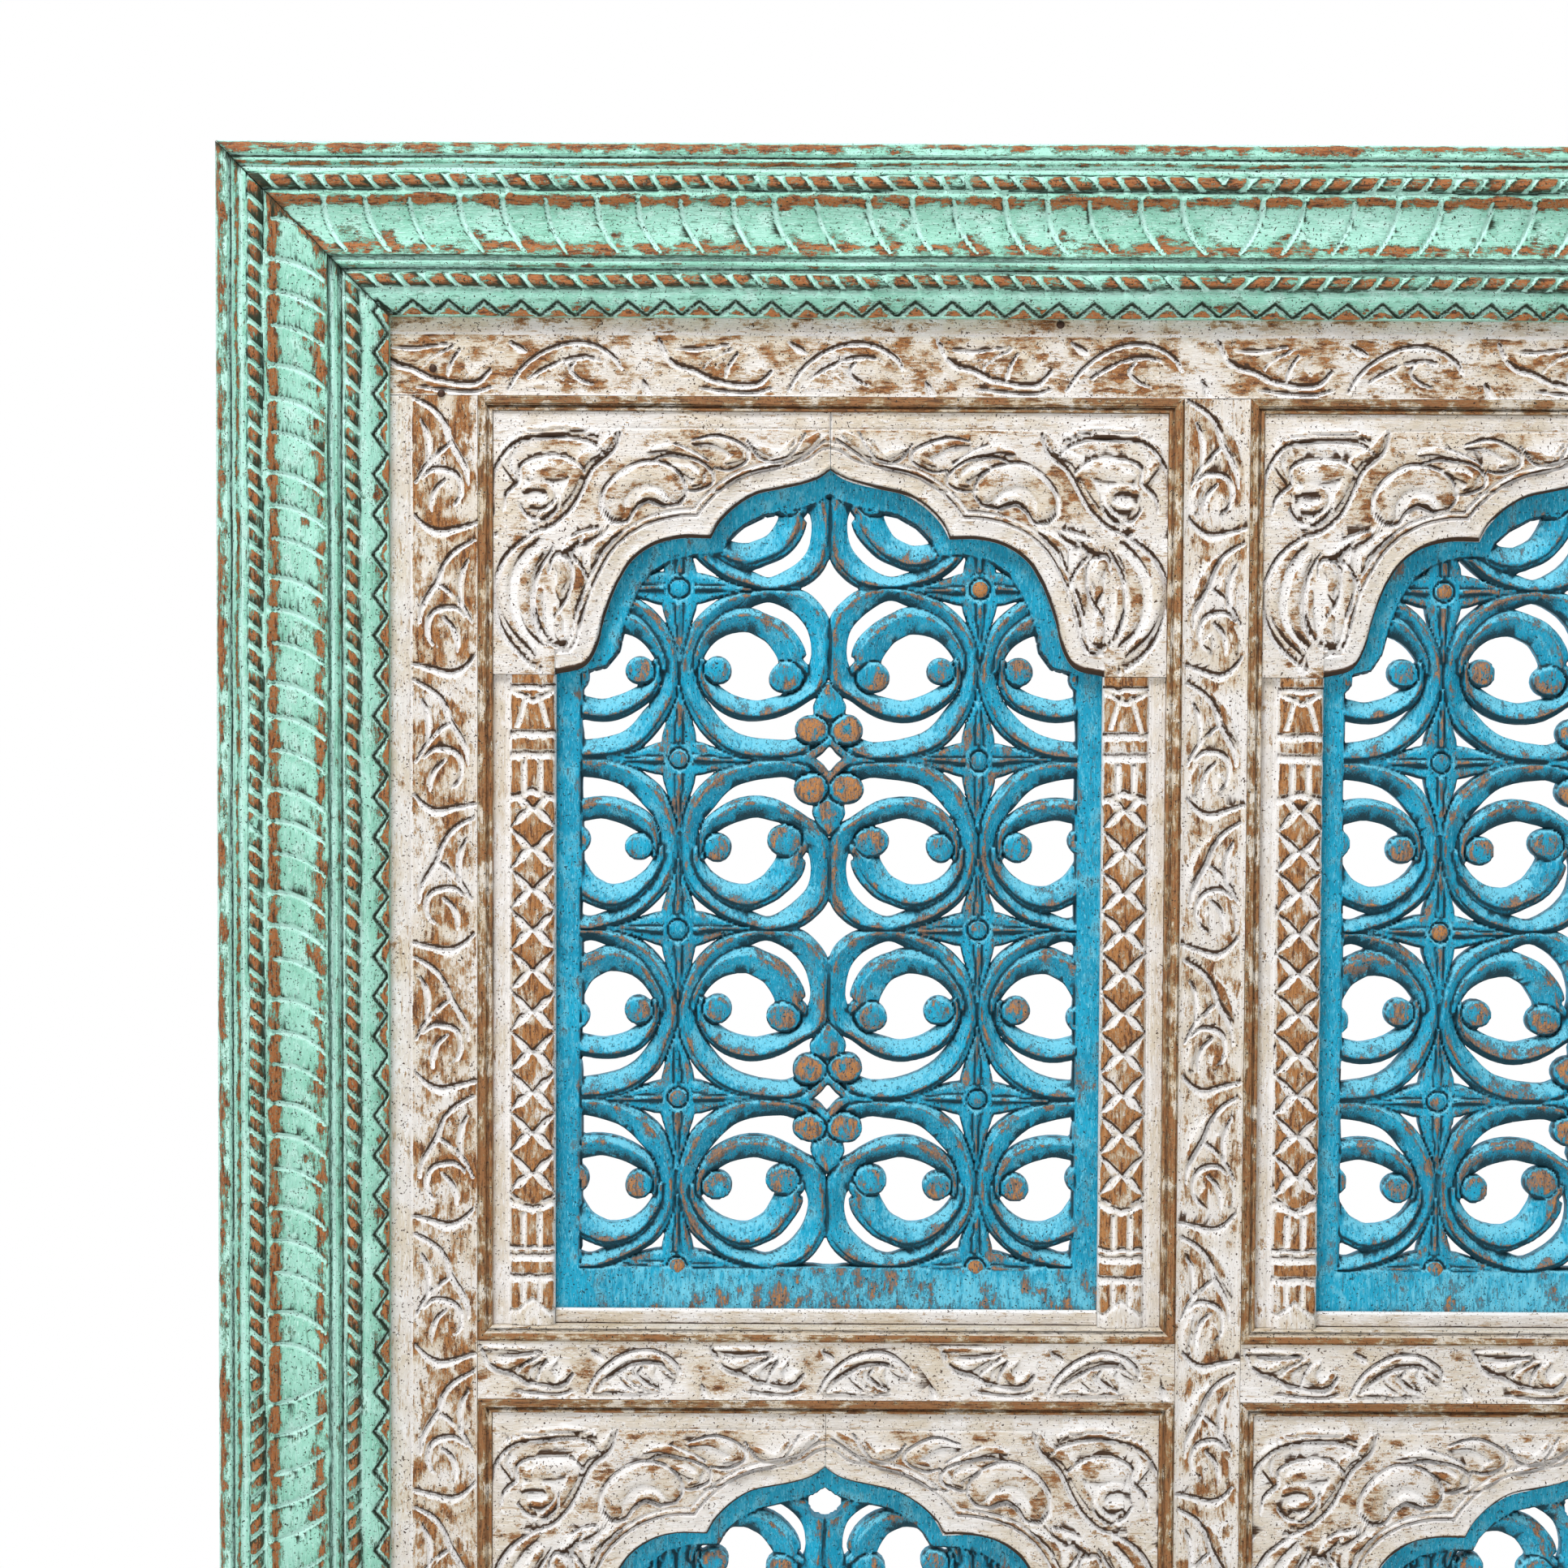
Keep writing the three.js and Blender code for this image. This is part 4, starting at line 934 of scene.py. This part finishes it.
for number, (name, centre_x, centre_z, _, _) in enumerate(windows):
    for hand, side in (("a", -1), ("b", 1)):
        seed = number * 2 + (side > 0)
        zz, oo = np.meshgrid(z, outwards, indexing="ij")
        wob = 0.35 * ripple(oo * 3, zz, 30, seed)
        q = (oo - shaft_at + wob * 0.4) / shaft_half
        down = springing - zz + wob
        up = zz - column_foot + wob
        block = np.clip(1 - np.abs(q) ** 5, 0, 1) ** 0.5
        shaft = np.clip(1 - (np.abs(q) / 0.97) ** 2.4, 0, 1) ** 0.5
        on_shaft = np.clip((down - 73) / 2, 0, 1) * np.clip((up - 75) / 2, 0, 1)
        swell = block * (1 - on_shaft) + (0.35 + 0.65 * shaft) * on_shaft
        height = 24.0 + np.where(np.abs(q) < 1, 4.6 * swell, 0)
        height = np.where(oo < strip, 24.1 - 0.5 * np.clip(1 - np.abs(oo - 7.6) / 0.8, 0, 1), height)
        inside = np.abs(q) < 1.02
        cut = np.zeros_like(height)
        for at, wide in ((8, 2.2), (36.5, 3.0), (49.5, 3.4)):
            cut = np.maximum(cut, groove(down - at, wide, 2.3))
        for at, wide in ((29.5, 3.0), (42.5, 3.2), (48.0, 1.8)):
            cut = np.maximum(cut, groove(up - at, wide, 2.3))
        peak = 74.5 - 4.6 * (1 - np.abs(q))
        cut = np.maximum(cut, groove(down - peak - 1.5, 3.0, 2.4))
        cut = np.maximum(cut, groove(up - 76.5 + 4.8 * (1 - np.abs(q)), 3.0, 2.4))
        cut = np.maximum(cut, groove(up - 8 - 8 * np.clip(1 - 1.3 * np.abs(q), 0, 1), 2.0, 1.6))
        cut = np.maximum(cut, groove(down - 9.5 - 7 * np.clip(1 - np.abs(q), 0, 1), 2.4, 2.2) * (down < 30))
        for at in (-0.38, 0.34):
            fluted = ((down > 53) & (down < peak)) | ((up > 50) & (up < 70))
            cut = np.maximum(cut, groove(q - at, 0.16, 2.2) * fluted)
            lower = (up > 14) & (up < 28)
            cut = np.maximum(cut, groove(q - at, 0.13, 1.8) * lower)
            petal = np.abs(q) - 0.25 - 0.5 * (down - 12) / 24
            cut = np.maximum(cut, groove(petal, 0.14, 2.0) * ((down > 12) & (down < 33)))
        pace = (tall - 151) / round((tall - 151) / 24.4)
        scales = np.zeros_like(height)
        leaf = 1.1 + 3.9 * np.sin(math.pi * np.clip(np.abs(q) / 0.88, 0, 1))
        for turn_ in (-1, 1):
            lift = np.where(turn_ * q > 0, 0.5 * np.abs(q), -0.5 * np.abs(q) ** 1.9)
            phase = (down - 82) / pace + lift
            gap = (phase - np.round(phase)) * pace
            scales = np.maximum(scales, groove(gap / np.where(gap < 0, 0.6, 1.2), leaf, 2.6))
        cut = np.where(on_shaft > 0.9, np.maximum(cut, scales), cut)
        height = height - cut * inside
        bare = np.where(np.abs(q) < 0.93, 0.60 - 1.0 * np.clip(cut / 0.8, 0, 1), 0.0)
        bare = np.where(up < 8 + 8 * np.clip(1 - 1.3 * np.abs(q), 0, 1), -0.2, bare)
        edge = np.clip(np.abs(np.abs(q) - 1) / 0.06, 0, 1)
        margin = 23.2 + 1.0 * edge + 3.2 * (np.abs(q) < 1)
        height = np.where(np.abs(q) > 0.9, np.minimum(height, margin), height)
        height += 0.12 * ripple(oo, zz, 14, 90 + seed)
        height = np.where(oo > 37.6, np.minimum(height, 25), height)
        px = centre_x + side * (lining - oo)
        rings = with_back(np.stack([px, -height, centre_z + zz], -1), glass_line)
        piece = lofted(f"column_{name}_{hand}_carved", rings, marks_of(height, 1.1, (0, 1), bare),
                       whitewash["upright"], 0.4 if number else 0.7)
        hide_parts(f"column_{name}_{hand}")


# Window mouldings: thin mitred bars pinned round each opening, sloping down to the glass line; the bottom one
# carries a ledge under the lattice. Limewash is nearly all rubbed off, so they read as warm bare wood.
rubbed_wood = {
    grain: rubbed_paint(
        f"bare_rubbed_mango_wood_{grain}", grain, ("#DCD4C8", "#CDBDA4", "#E8E4DE", "#A08560", "#E6DFD4"),
        ("#BE8A57", "#97673E", "#634227"), "#2E2018", (0.035, 0.1), (1.3, 12), (0.74, 0.66),
    )
    for grain in ("across", "upright")
}


def moulding_tree():
    """A straight bar along x with 45 degree mitres, from a four-cornered profile; its outer edge is y = 0."""
    tree = bpy.data.node_groups.new("mitred moulding bar", "GeometryNodeTree")
    tree_socket(tree, "Geometry", "NodeSocketGeometry")
    tree_socket(tree, "Length", "NodeSocketFloat", 0.43)
    tree_socket(tree, "Width", "NodeSocketFloat", 0.0087)
    tree_socket(tree, "Base", "NodeSocketFloat", 0.0173)
    tree_socket(tree, "Outer height", "NodeSocketFloat", 0.033)
    tree_socket(tree, "Inner height", "NodeSocketFloat", 0.029)
    tree_socket(tree, "Inner wear", "NodeSocketFloat", 0.0)
    tree_socket(tree, "Finish", "NodeSocketMaterial")
    tree_socket(tree, "Geometry", "NodeSocketGeometry", way="OUTPUT")
    given = add(tree, "NodeGroupInput").outputs

    def calc(operation, a, b):
        node = add(tree, "ShaderNodeMath", operation=operation)
        for socket, value in enumerate((a, b)):
            if isinstance(value, (int, float)):
                node.inputs[socket].default_value = value
            else:
                tree.links.new(value, node.inputs[socket])
        return node.outputs[0]

    def corner(across, up):
        turned = [(0, calc("MULTIPLY", across, -1.0)), (1, calc("MULTIPLY", up, -1.0))]
        return add(tree, "ShaderNodeCombineXYZ", turned).outputs[0]

    half = calc("MULTIPLY", given["Length"], 0.5)
    left = calc("MULTIPLY", half, -1.0)
    ends = [add(tree, "ShaderNodeCombineXYZ", [(0, value)]).outputs[0] for value in (left, half)]
    line = add(tree, "GeometryNodeCurvePrimitiveLine", [(0, ends[0]), (1, ends[1])])
    line = add(tree, "GeometryNodeResampleCurve", [(0, line.outputs[0])], i2=3)
    outline = add(tree, "GeometryNodeCurvePrimitiveQuadrilateral", mode="POINTS")
    corners = [(0.0, given["Base"]), (given["Width"], given["Base"]), (given["Width"], given["Inner height"]),
               (0.0, given["Outer height"])]
    for socket, (across, up) in zip(outline.inputs[-4:], corners):
        tree.links.new(corner(across, up), socket)
    parted = add(tree, "GeometryNodeSubdivideCurve", [(0, outline.outputs[0])], i1=7)
    rounded = add(tree, "GeometryNodeFilletCurve", [(0, parted.outputs[0])], mode="POLY", i1=2, i2=0.0008)
    bar = add(tree, "GeometryNodeCurveToMesh", [(0, line.outputs[0]), (1, rounded.outputs[0])])
    bar.inputs["Fill Caps"].default_value = True
    position = add(tree, "GeometryNodeInputPosition").outputs[0]
    spot = add(tree, "ShaderNodeSeparateXYZ", [(0, position)]).outputs
    inwards = calc("ABSOLUTE", spot[1], 0.0)
    shorter = calc("SUBTRACT", 1.0, calc("DIVIDE", calc("MULTIPLY", inwards, 2.0), given["Length"]))
    narrowed = calc("MULTIPLY", spot[0], shorter)
    sheared = add(tree, "ShaderNodeCombineXYZ", [(0, narrowed), (1, spot[1]), (2, spot[2])])
    mitred = add(tree, "GeometryNodeSetPosition", [(0, bar.outputs[0]), (2, sheared.outputs[0])])
    share = calc("DIVIDE", inwards, given["Width"])
    from_hollow = calc("ABSOLUTE", calc("SUBTRACT", share, 0.69), 0.0)
    hollow = calc("MAXIMUM", calc("SUBTRACT", 1.0, calc("DIVIDE", from_hollow, 0.17)), 0.0)
    on_top = calc("GREATER_THAN", spot[2], calc("ADD", given["Base"], 0.008))
    sunken = calc("MULTIPLY", calc("MULTIPLY", hollow, on_top), -0.0022)
    deeper = add(tree, "ShaderNodeCombineXYZ", [(2, sunken)])
    grooved = add(tree, "GeometryNodeSetPosition", [(0, mitred.outputs[0]), (3, deeper.outputs[0])])
    inner_wear = calc("MULTIPLY", calc("GREATER_THAN", share, 0.5), given["Inner wear"])
    marked = grooved
    # Painted shade along the sunken hollow of the bar
    for key, value in (("dark", calc("MULTIPLY", hollow, 0.72)), ("bare", inner_wear)):
        marked = add(tree, "GeometryNodeStoreNamedAttribute", [(0, marked.outputs[0])], data_type="FLOAT",
                     domain="POINT")
        marked.inputs["Name"].default_value = key
        tree.links.new(value, marked.inputs["Value"])
    real = add(tree, "GeometryNodeRealizeInstances", [(0, marked.outputs[0])])
    dressed = add(tree, "GeometryNodeSetMaterial", [(0, real.outputs[0]), (2, given["Finish"])])
    add(tree, "NodeGroupOutput", [(0, dressed.outputs[0])])
    return tree


bar_tree = moulding_tree()
out = np.array([0.0, -1.0, 0.0])
for name, centre_x, centre_z, _, _ in windows:
    edges = {
        "top": ((0.0, 0, -1), (0, opening_z), 2 * opening_x),
        "sill": ((0.0, 0, 1), (0, -opening_z), 2 * opening_x),
        "left": ((1.0, 0, 0), (-opening_x, 0), 2 * opening_z),
        "right": ((-1.0, 0, 0), (opening_x, 0), 2 * opening_z),
    }
    for edge, (inwards, (x, z), length) in edges.items():
        finish = rubbed_wood["across" if x == 0 else "upright"]
        bar = grown(f"moulding_{name}_{edge}_rubbed", bpy.data.meshes.new("bar"), bar_tree, "rubbed_moulding",
                    length=length / 1000, inner_wear=-0.6 if edge == "sill" else 0.0, finish=finish)
        spots = np.array([v.co for v in bar.data.vertices])
        basis = np.array([np.cross(inwards, out), inwards, out])
        spots = spots @ basis + np.array([centre_x + x, 0, centre_z + z]) / 1000
        bar.data.vertices.foreach_set("co", spots.reshape(-1))
        bar.data.update()
        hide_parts(f"moulding_{name}_{edge}")
    ledge_foot, ledge_top, ledge_half = -281.3, -271.8, 167.2
    long = np.linspace(-ledge_half, ledge_half, 240)
    along, across = np.meshgrid(long, np.linspace(ledge_foot, ledge_top, 9), indexing="ij")
    round_off = np.clip(np.minimum(across - ledge_foot, ledge_top - across) / 1.6, 0, 1)
    height = 19.6 + 1.4 * np.sqrt(round_off) + 0.25 * ripple(along, across * 3, 40, int(centre_x) % 7)
    height = np.clip(height, 18, 21)
    rings = with_back(np.stack([centre_x + along, -height, centre_z + across], -1), glass_line)
    ledge = lofted(f"ledge_{name}_rubbed", rings, marks_of(height, 1.2, (1, 1), -0.1), whitewash["across"],
                   1.0)
    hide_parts(f"moulding_{name}_sill")


# Green frame: four moulded members, 105 mm wide and 49 mm deep, mitred at the corners. Between two twisted
# ropes runs a hollow cut in leaves, and a zigzag edges the opening. Mint paint lies in the cuts and hollows;
# the ropes, the rims and the outer edge are rubbed to the wood.

# Satin oil paint: pale mint, lighter in the cuts, with reddish wood where it is rubbed through
mint_paint = {
    grain: rubbed_paint(
        f"rubbed_mint_paint_{grain}", grain, ("#A3DDCB", "#8ACBB4", "#C8F1E6", "#6C9C88", "#C9F1E7"),
        ("#AA6C3E", "#874F2C", "#573522"), "#263324", (-0.33, 0.12), (1.7, 9), (0.6, 0.68),
    )
    for grain in ("across", "upright")
}
# The moulded section without its carving: mm from the outer edge, and mm out of the wall
section_at = [
    0, 0.4, 3, 8.5, 9.6, 10.6, 12.5, 14.2, 15.6, 17, 19.4, 20, 20.01, 30, 30.01, 31.2, 33.4, 34.6, 36.5,
    68, 69.4, 70.4, 71.8, 74, 75.4, 76.4, 77.6, 79.4, 79.41, 88.6, 88.61, 89.4, 93.4, 94.2, 103.4, 105,
]
section_up = [
    37, 38.6, 43, 45, 42.4, 42.2, 45.6, 45.2, 42.4, 43.2, 45.4, 45.2, 44, 44, 45.4, 45.8, 47.6, 47.3,
    46, 46, 46.9, 43.2, 43.4, 46.7, 46.3, 42, 41.4, 44, 43.4, 43.4, 44, 43.6, 43.4, 43.2, 38.8, 38,
]


def green_relief(s, t, pitch_leaf, pitch_rope, pitch_zigzag, half, seed):
    """The face of a green member: s mm from the outer edge, t mm from its middle."""
    hand = 0.5 * ripple(t, s, 90, seed)
    s = s + 0.25 * ripple(t, s, 120, seed + 1)
    height = np.interp(s, section_at, section_up)
    bare = np.zeros_like(height)
    hollow = np.clip((s - 35) / 32.5, 0, 1)
    in_hollow = (s > 35) & (s < 67.5)
    height = np.where(in_hollow, 47.2 - 5.7 * np.sin(np.pi * hollow) ** 0.75 - 0.7 * hollow, height)
    for centre, reach, worn in ((36.5, 6.0, 0.95), (63.5, 6.5, 0.8), (14.8, 2.4, 0.8), (77.0, 2.4, 0.75),
                                (2.0, 9.0, 0.6)):
        bare = np.maximum(bare, worn * np.clip(1 - np.abs(s - centre) / reach, 0, 1))
    # Painted shade: dark lines in the quirks between the mouldings
    dark = np.zeros_like(height)
    for centre, reach, deep in ((10.1, 1.3, 0.8), (15.8, 0.9, 0.5), (31.3, 0.8, 0.4), (69.6, 1.4, 0.75),
                                (71.4, 0.6, 0.4), (77.0, 1.3, 0.75), (89.2, 0.9, 0.5)):
        dark = np.maximum(dark, deep * np.clip(1 - np.abs(s - centre) / reach, 0, 1) ** 0.6)
    for centre, radius, top in ((25, 5, 49), (84, 4.6, 47.5)):
        across = (s - centre) / radius
        round_ = np.abs(across) < 1
        bead = top - (top - 43.6) * (1 - np.sqrt(np.clip(1 - across ** 2, 0, 1)))
        phase = (np.abs(t) + across * 4.2 + 0.9 * across ** 2 + hand * 2.2) / pitch_rope
        turn_number = np.round(phase)
        behind = (phase - turn_number) * pitch_rope
        gap = np.abs(behind)
        uneven = 0.5 + 0.5 * np.sin(turn_number * 2.4 + seed)
        broad = 1.1 + 0.6 * uneven + 2.2 * (turn_number % 2) * np.clip(-across - 0.1, 0, 1)
        slash = np.clip(1 - gap / (broad + 0.5), 0, 1)
        height = np.where(round_, bead - 2.8 * slash ** 0.6, height)
        worn = (0.5 + 0.3 * uneven) * np.clip((gap - broad) / 0.8, 0, 1)
        worn = worn * np.clip((0.95 - np.abs(across)) / 0.3, 0, 1)
        bare = np.where(round_, worn, bare)
        # Painted shade on the far side of each rope turn, on the rope's lower side and along its edges
        shade = np.clip(1 - np.abs(behind - broad - 0.9) / 1.5, 0, 1) * 0.9
        under = 0.62 * np.clip((across - 0.15) / 0.45, 0, 1) * np.clip((gap - broad + 0.4) / 0.8, 0, 1)
        shade = np.maximum(np.maximum(shade, under), 0.5 * (np.abs(across) > 0.86))
        dark = np.where(round_, shade, dark)
        chip = np.clip(1 - np.hypot((s - centre + radius + 1) / 1.6, gap / 2.6), 0, 1) * (turn_number % 2)
        height = height - 1.5 * chip * (s < centre)
    lean = np.abs(t) + 14 * hollow ** 2 + hand
    leaf = np.floor(lean / pitch_leaf)
    where = lean - leaf * pitch_leaf
    marks_at = (0.29, 0.60, 0.975)
    for number, at in enumerate(marks_at):
        behind = where - at * pitch_leaf
        behind = behind - pitch_leaf * np.round(behind / pitch_leaf)
        gap = np.abs(behind)
        broad = (1.75 if number < 2 else 1.3) * (0.75 + 0.55 * np.sin(np.pi * np.clip(hollow, 0, 1)))
        cut = np.clip(1 - gap / broad, 0, 1) * in_hollow
        height = height - 2.0 * cut ** 0.75
        chance = 0.5 + 0.5 * np.sin(leaf * 3.1 + number * 2 + seed)
        from_patch = np.hypot((behind + 5 + 2 * chance) / 6, (hollow - 0.74) / 0.3)
        patch = np.clip(1 - from_patch, 0, 1) ** 0.5 * in_hollow
        bare = np.maximum(bare, patch * (0.35 + 0.35 * chance))
        bare = bare * (1 - np.clip(cut * 3, 0, 1))
        # Painted shade along one wall of each leaf cut
        dark = np.maximum(dark, 0.8 * np.clip(1 - np.abs(behind - broad - 0.2) / 1.0, 0, 1) * in_hollow)
        if number < 2:
            head = np.clip(1 - gap / (3.4 - 0.9 * np.clip(s - 33, 0, 3.4)), 0, 1) * (s > 32.2) * (s < 36.4)
            height = height - 2.2 * head
            bare = bare * (1 - np.clip(head * 4, 0, 1))
    saw = 95.4 + 8.4 * np.abs(((t + hand) / pitch_zigzag) % 1 - 0.5) * 2
    beyond = (s - saw) * (0.5 * pitch_zigzag / np.hypot(0.5 * pitch_zigzag, 8.4))
    in_saw = (s > 93.8) & (s < 104.7)
    notch = np.where(beyond > 0, np.clip(1 - beyond / 4.5, 0, 1), np.clip(1 + beyond / 0.5, 0, 1))
    height = height - 2.6 * notch * in_saw
    edge_worn = np.clip((s - 97.5) / 4.5, 0, 1) * 0.9
    bare = np.where(in_saw, edge_worn * (np.abs(beyond) > 1.2), bare)
    # Painted shade in the zigzag's notches
    dark = np.where(in_saw, 0.95 * np.clip(1 - np.abs(beyond - 0.3) / 1.5, 0, 1) ** 0.7, dark)
    mitre = half - s - np.abs(t)
    bare = np.maximum(bare, 0.9 * np.clip(1.3 - mitre / 4.5, 0, 1) * (s > 33) * (s < 66))
    # The dark line at the mitre is the joint itself
    dark = np.maximum(dark, 0.7 * np.clip(1 - mitre / 1.6, 0, 1))
    height += 0.14 * ripple(t, s, 30, seed + 2)
    return np.minimum(height, 49), bare, dark


half_wide, half_high, mitre_gap = 608, 750, 0.22
# name, half length, grain, spacing of leaves, rope turns and zigzag teeth, quarter turns from the top
members = [
    ("frame_top", half_wide, "across", 82, 15.5, 21.7, 0),
    ("frame_bottom", half_wide, "across", 82, 15.5, 21.7, 2),
    ("frame_left", half_high, "upright", 64, 12.3, 24.4, 1),
    ("frame_right", half_high, "upright", 64, 12.3, 24.4, 3),
]
s_at = np.unique(np.concatenate([np.arange(0, 105.01, 1.15), [20.01, 30, 30.01, 79.41, 88.6, 88.61, 104.6]]))
for name, half, grain, leaf_pitch, rope_pitch, saw_pitch, quarter in members:
    share = np.linspace(-1, 1, int(2 * half / 1.6))
    u, s = np.meshgrid(share, s_at, indexing="ij")
    t = u * (half - s - mitre_gap)
    height, bare, dark = green_relief(s, t, leaf_pitch, rope_pitch, saw_pitch, half, 200 + quarter * 10)
    height[:, 0] = 37.0
    face = np.stack([t, s, height], -1)
    under = []
    for depth, up in ((105, 31.3), (95, 31.3), (95, 0), (0, 0)):
        corner = [np.full(share.shape, float(v)) for v in (depth, up)]
        under.append(np.stack([share * (half - depth - mitre_gap), *corner], -1)[:, None])
    profile = np.concatenate([face] + under, 1)
    t, s, up = profile[..., 0], profile[..., 1], profile[..., 2]
    if quarter == 0:
        rings = np.stack([t, -up, half_high - s], -1)
    elif quarter == 2:
        rings = np.stack([-t, -up, s - half_high], -1)
    elif quarter == 1:
        rings = np.stack([s - half_wide, -up, t], -1)
    else:
        rings = np.stack([half_wide - s, -up, -t], -1)
    marks = marks_of(height, 1.4, (1, 0), bare, dark, 4)
    if grain == "upright":
        lip = np.pad(0.5 * (face[..., 1] < 9), ((0, 0), (0, 4)))
        marks["dusty"] = np.maximum(marks["dusty"], lip)
    keep = (66000 if quarter < 2 else 44000) / (2 * rings.shape[0] * rings.shape[1])
    piece = lofted(name + "_carved", rings, marks, mint_paint[grain], keep)
    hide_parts(name)


# Place: a plain pale floor, and soft studio light from above and a little to the left.
ground = bpy.data.meshes.new("floor")
floor_corners = [(-5, -5, -0.752), (5, -5, -0.752), (5, 1.6, -0.752), (-5, 1.6, -0.752)]
ground.from_pydata(floor_corners, [], [(0, 1, 2, 3)])
floor = bpy.data.objects.new("floor", ground)
scene.collection.objects.link(floor)
pale = bpy.data.materials.new("pale_floor")
pale.use_nodes = True
pale_shader = pale.node_tree.nodes["Principled BSDF"]
pale_shader.inputs["Roughness"].default_value = 0.9
cloudy = add(pale.node_tree, "ShaderNodeTexNoise", i2=3)
tone = add(pale.node_tree, "ShaderNodeMix", [(0, cloudy.outputs[0])], data_type="RGBA")
tone.inputs[6].default_value = linear("#F4F3F1")
tone.inputs[7].default_value = linear("#FBFAF8")
pale.node_tree.links.new(tone.outputs[2], pale_shader.inputs["Base Color"])
ground.materials.append(pale)

world = bpy.data.worlds.new("studio")
scene.world = world
world.use_nodes = True
sky = world.node_tree.nodes["Background"]
sky.inputs["Color"].default_value = linear("#FFFFFF")
toward = add(world.node_tree, "ShaderNodeTexCoord").outputs["Generated"]
axes = add(world.node_tree, "ShaderNodeSeparateXYZ", [(0, toward)]).outputs
depth = add(world.node_tree, "ShaderNodeMapRange", [(0, axes[1])], i1=-0.3, i2=0.5, i3=0.42, i4=1.0)
world.node_tree.links.new(depth.outputs[0], sky.inputs["Strength"])

for name, place, aim, size, power in (
    ("key", (-0.9, -1.7, 3.2), (-0.15, 0, 0.25), 0.9, 100),
    ("fill", (-2.4, -3.4, 0.7), (0, 0, 0.1), 2.0, 22),
):
    lamp = bpy.data.lights.new(name, "AREA")
    lamp.size = size
    lamp.energy = power
    light = bpy.data.objects.new(name, lamp)
    scene.collection.objects.link(light)
    light.matrix_world = Matrix.Translation(place) @ (
        Matrix.Translation(aim).translation - Matrix.Translation(place).translation
    ).to_track_quat("-Z", "Y").to_matrix().to_4x4()
scene.view_settings.view_transform = "Standard"
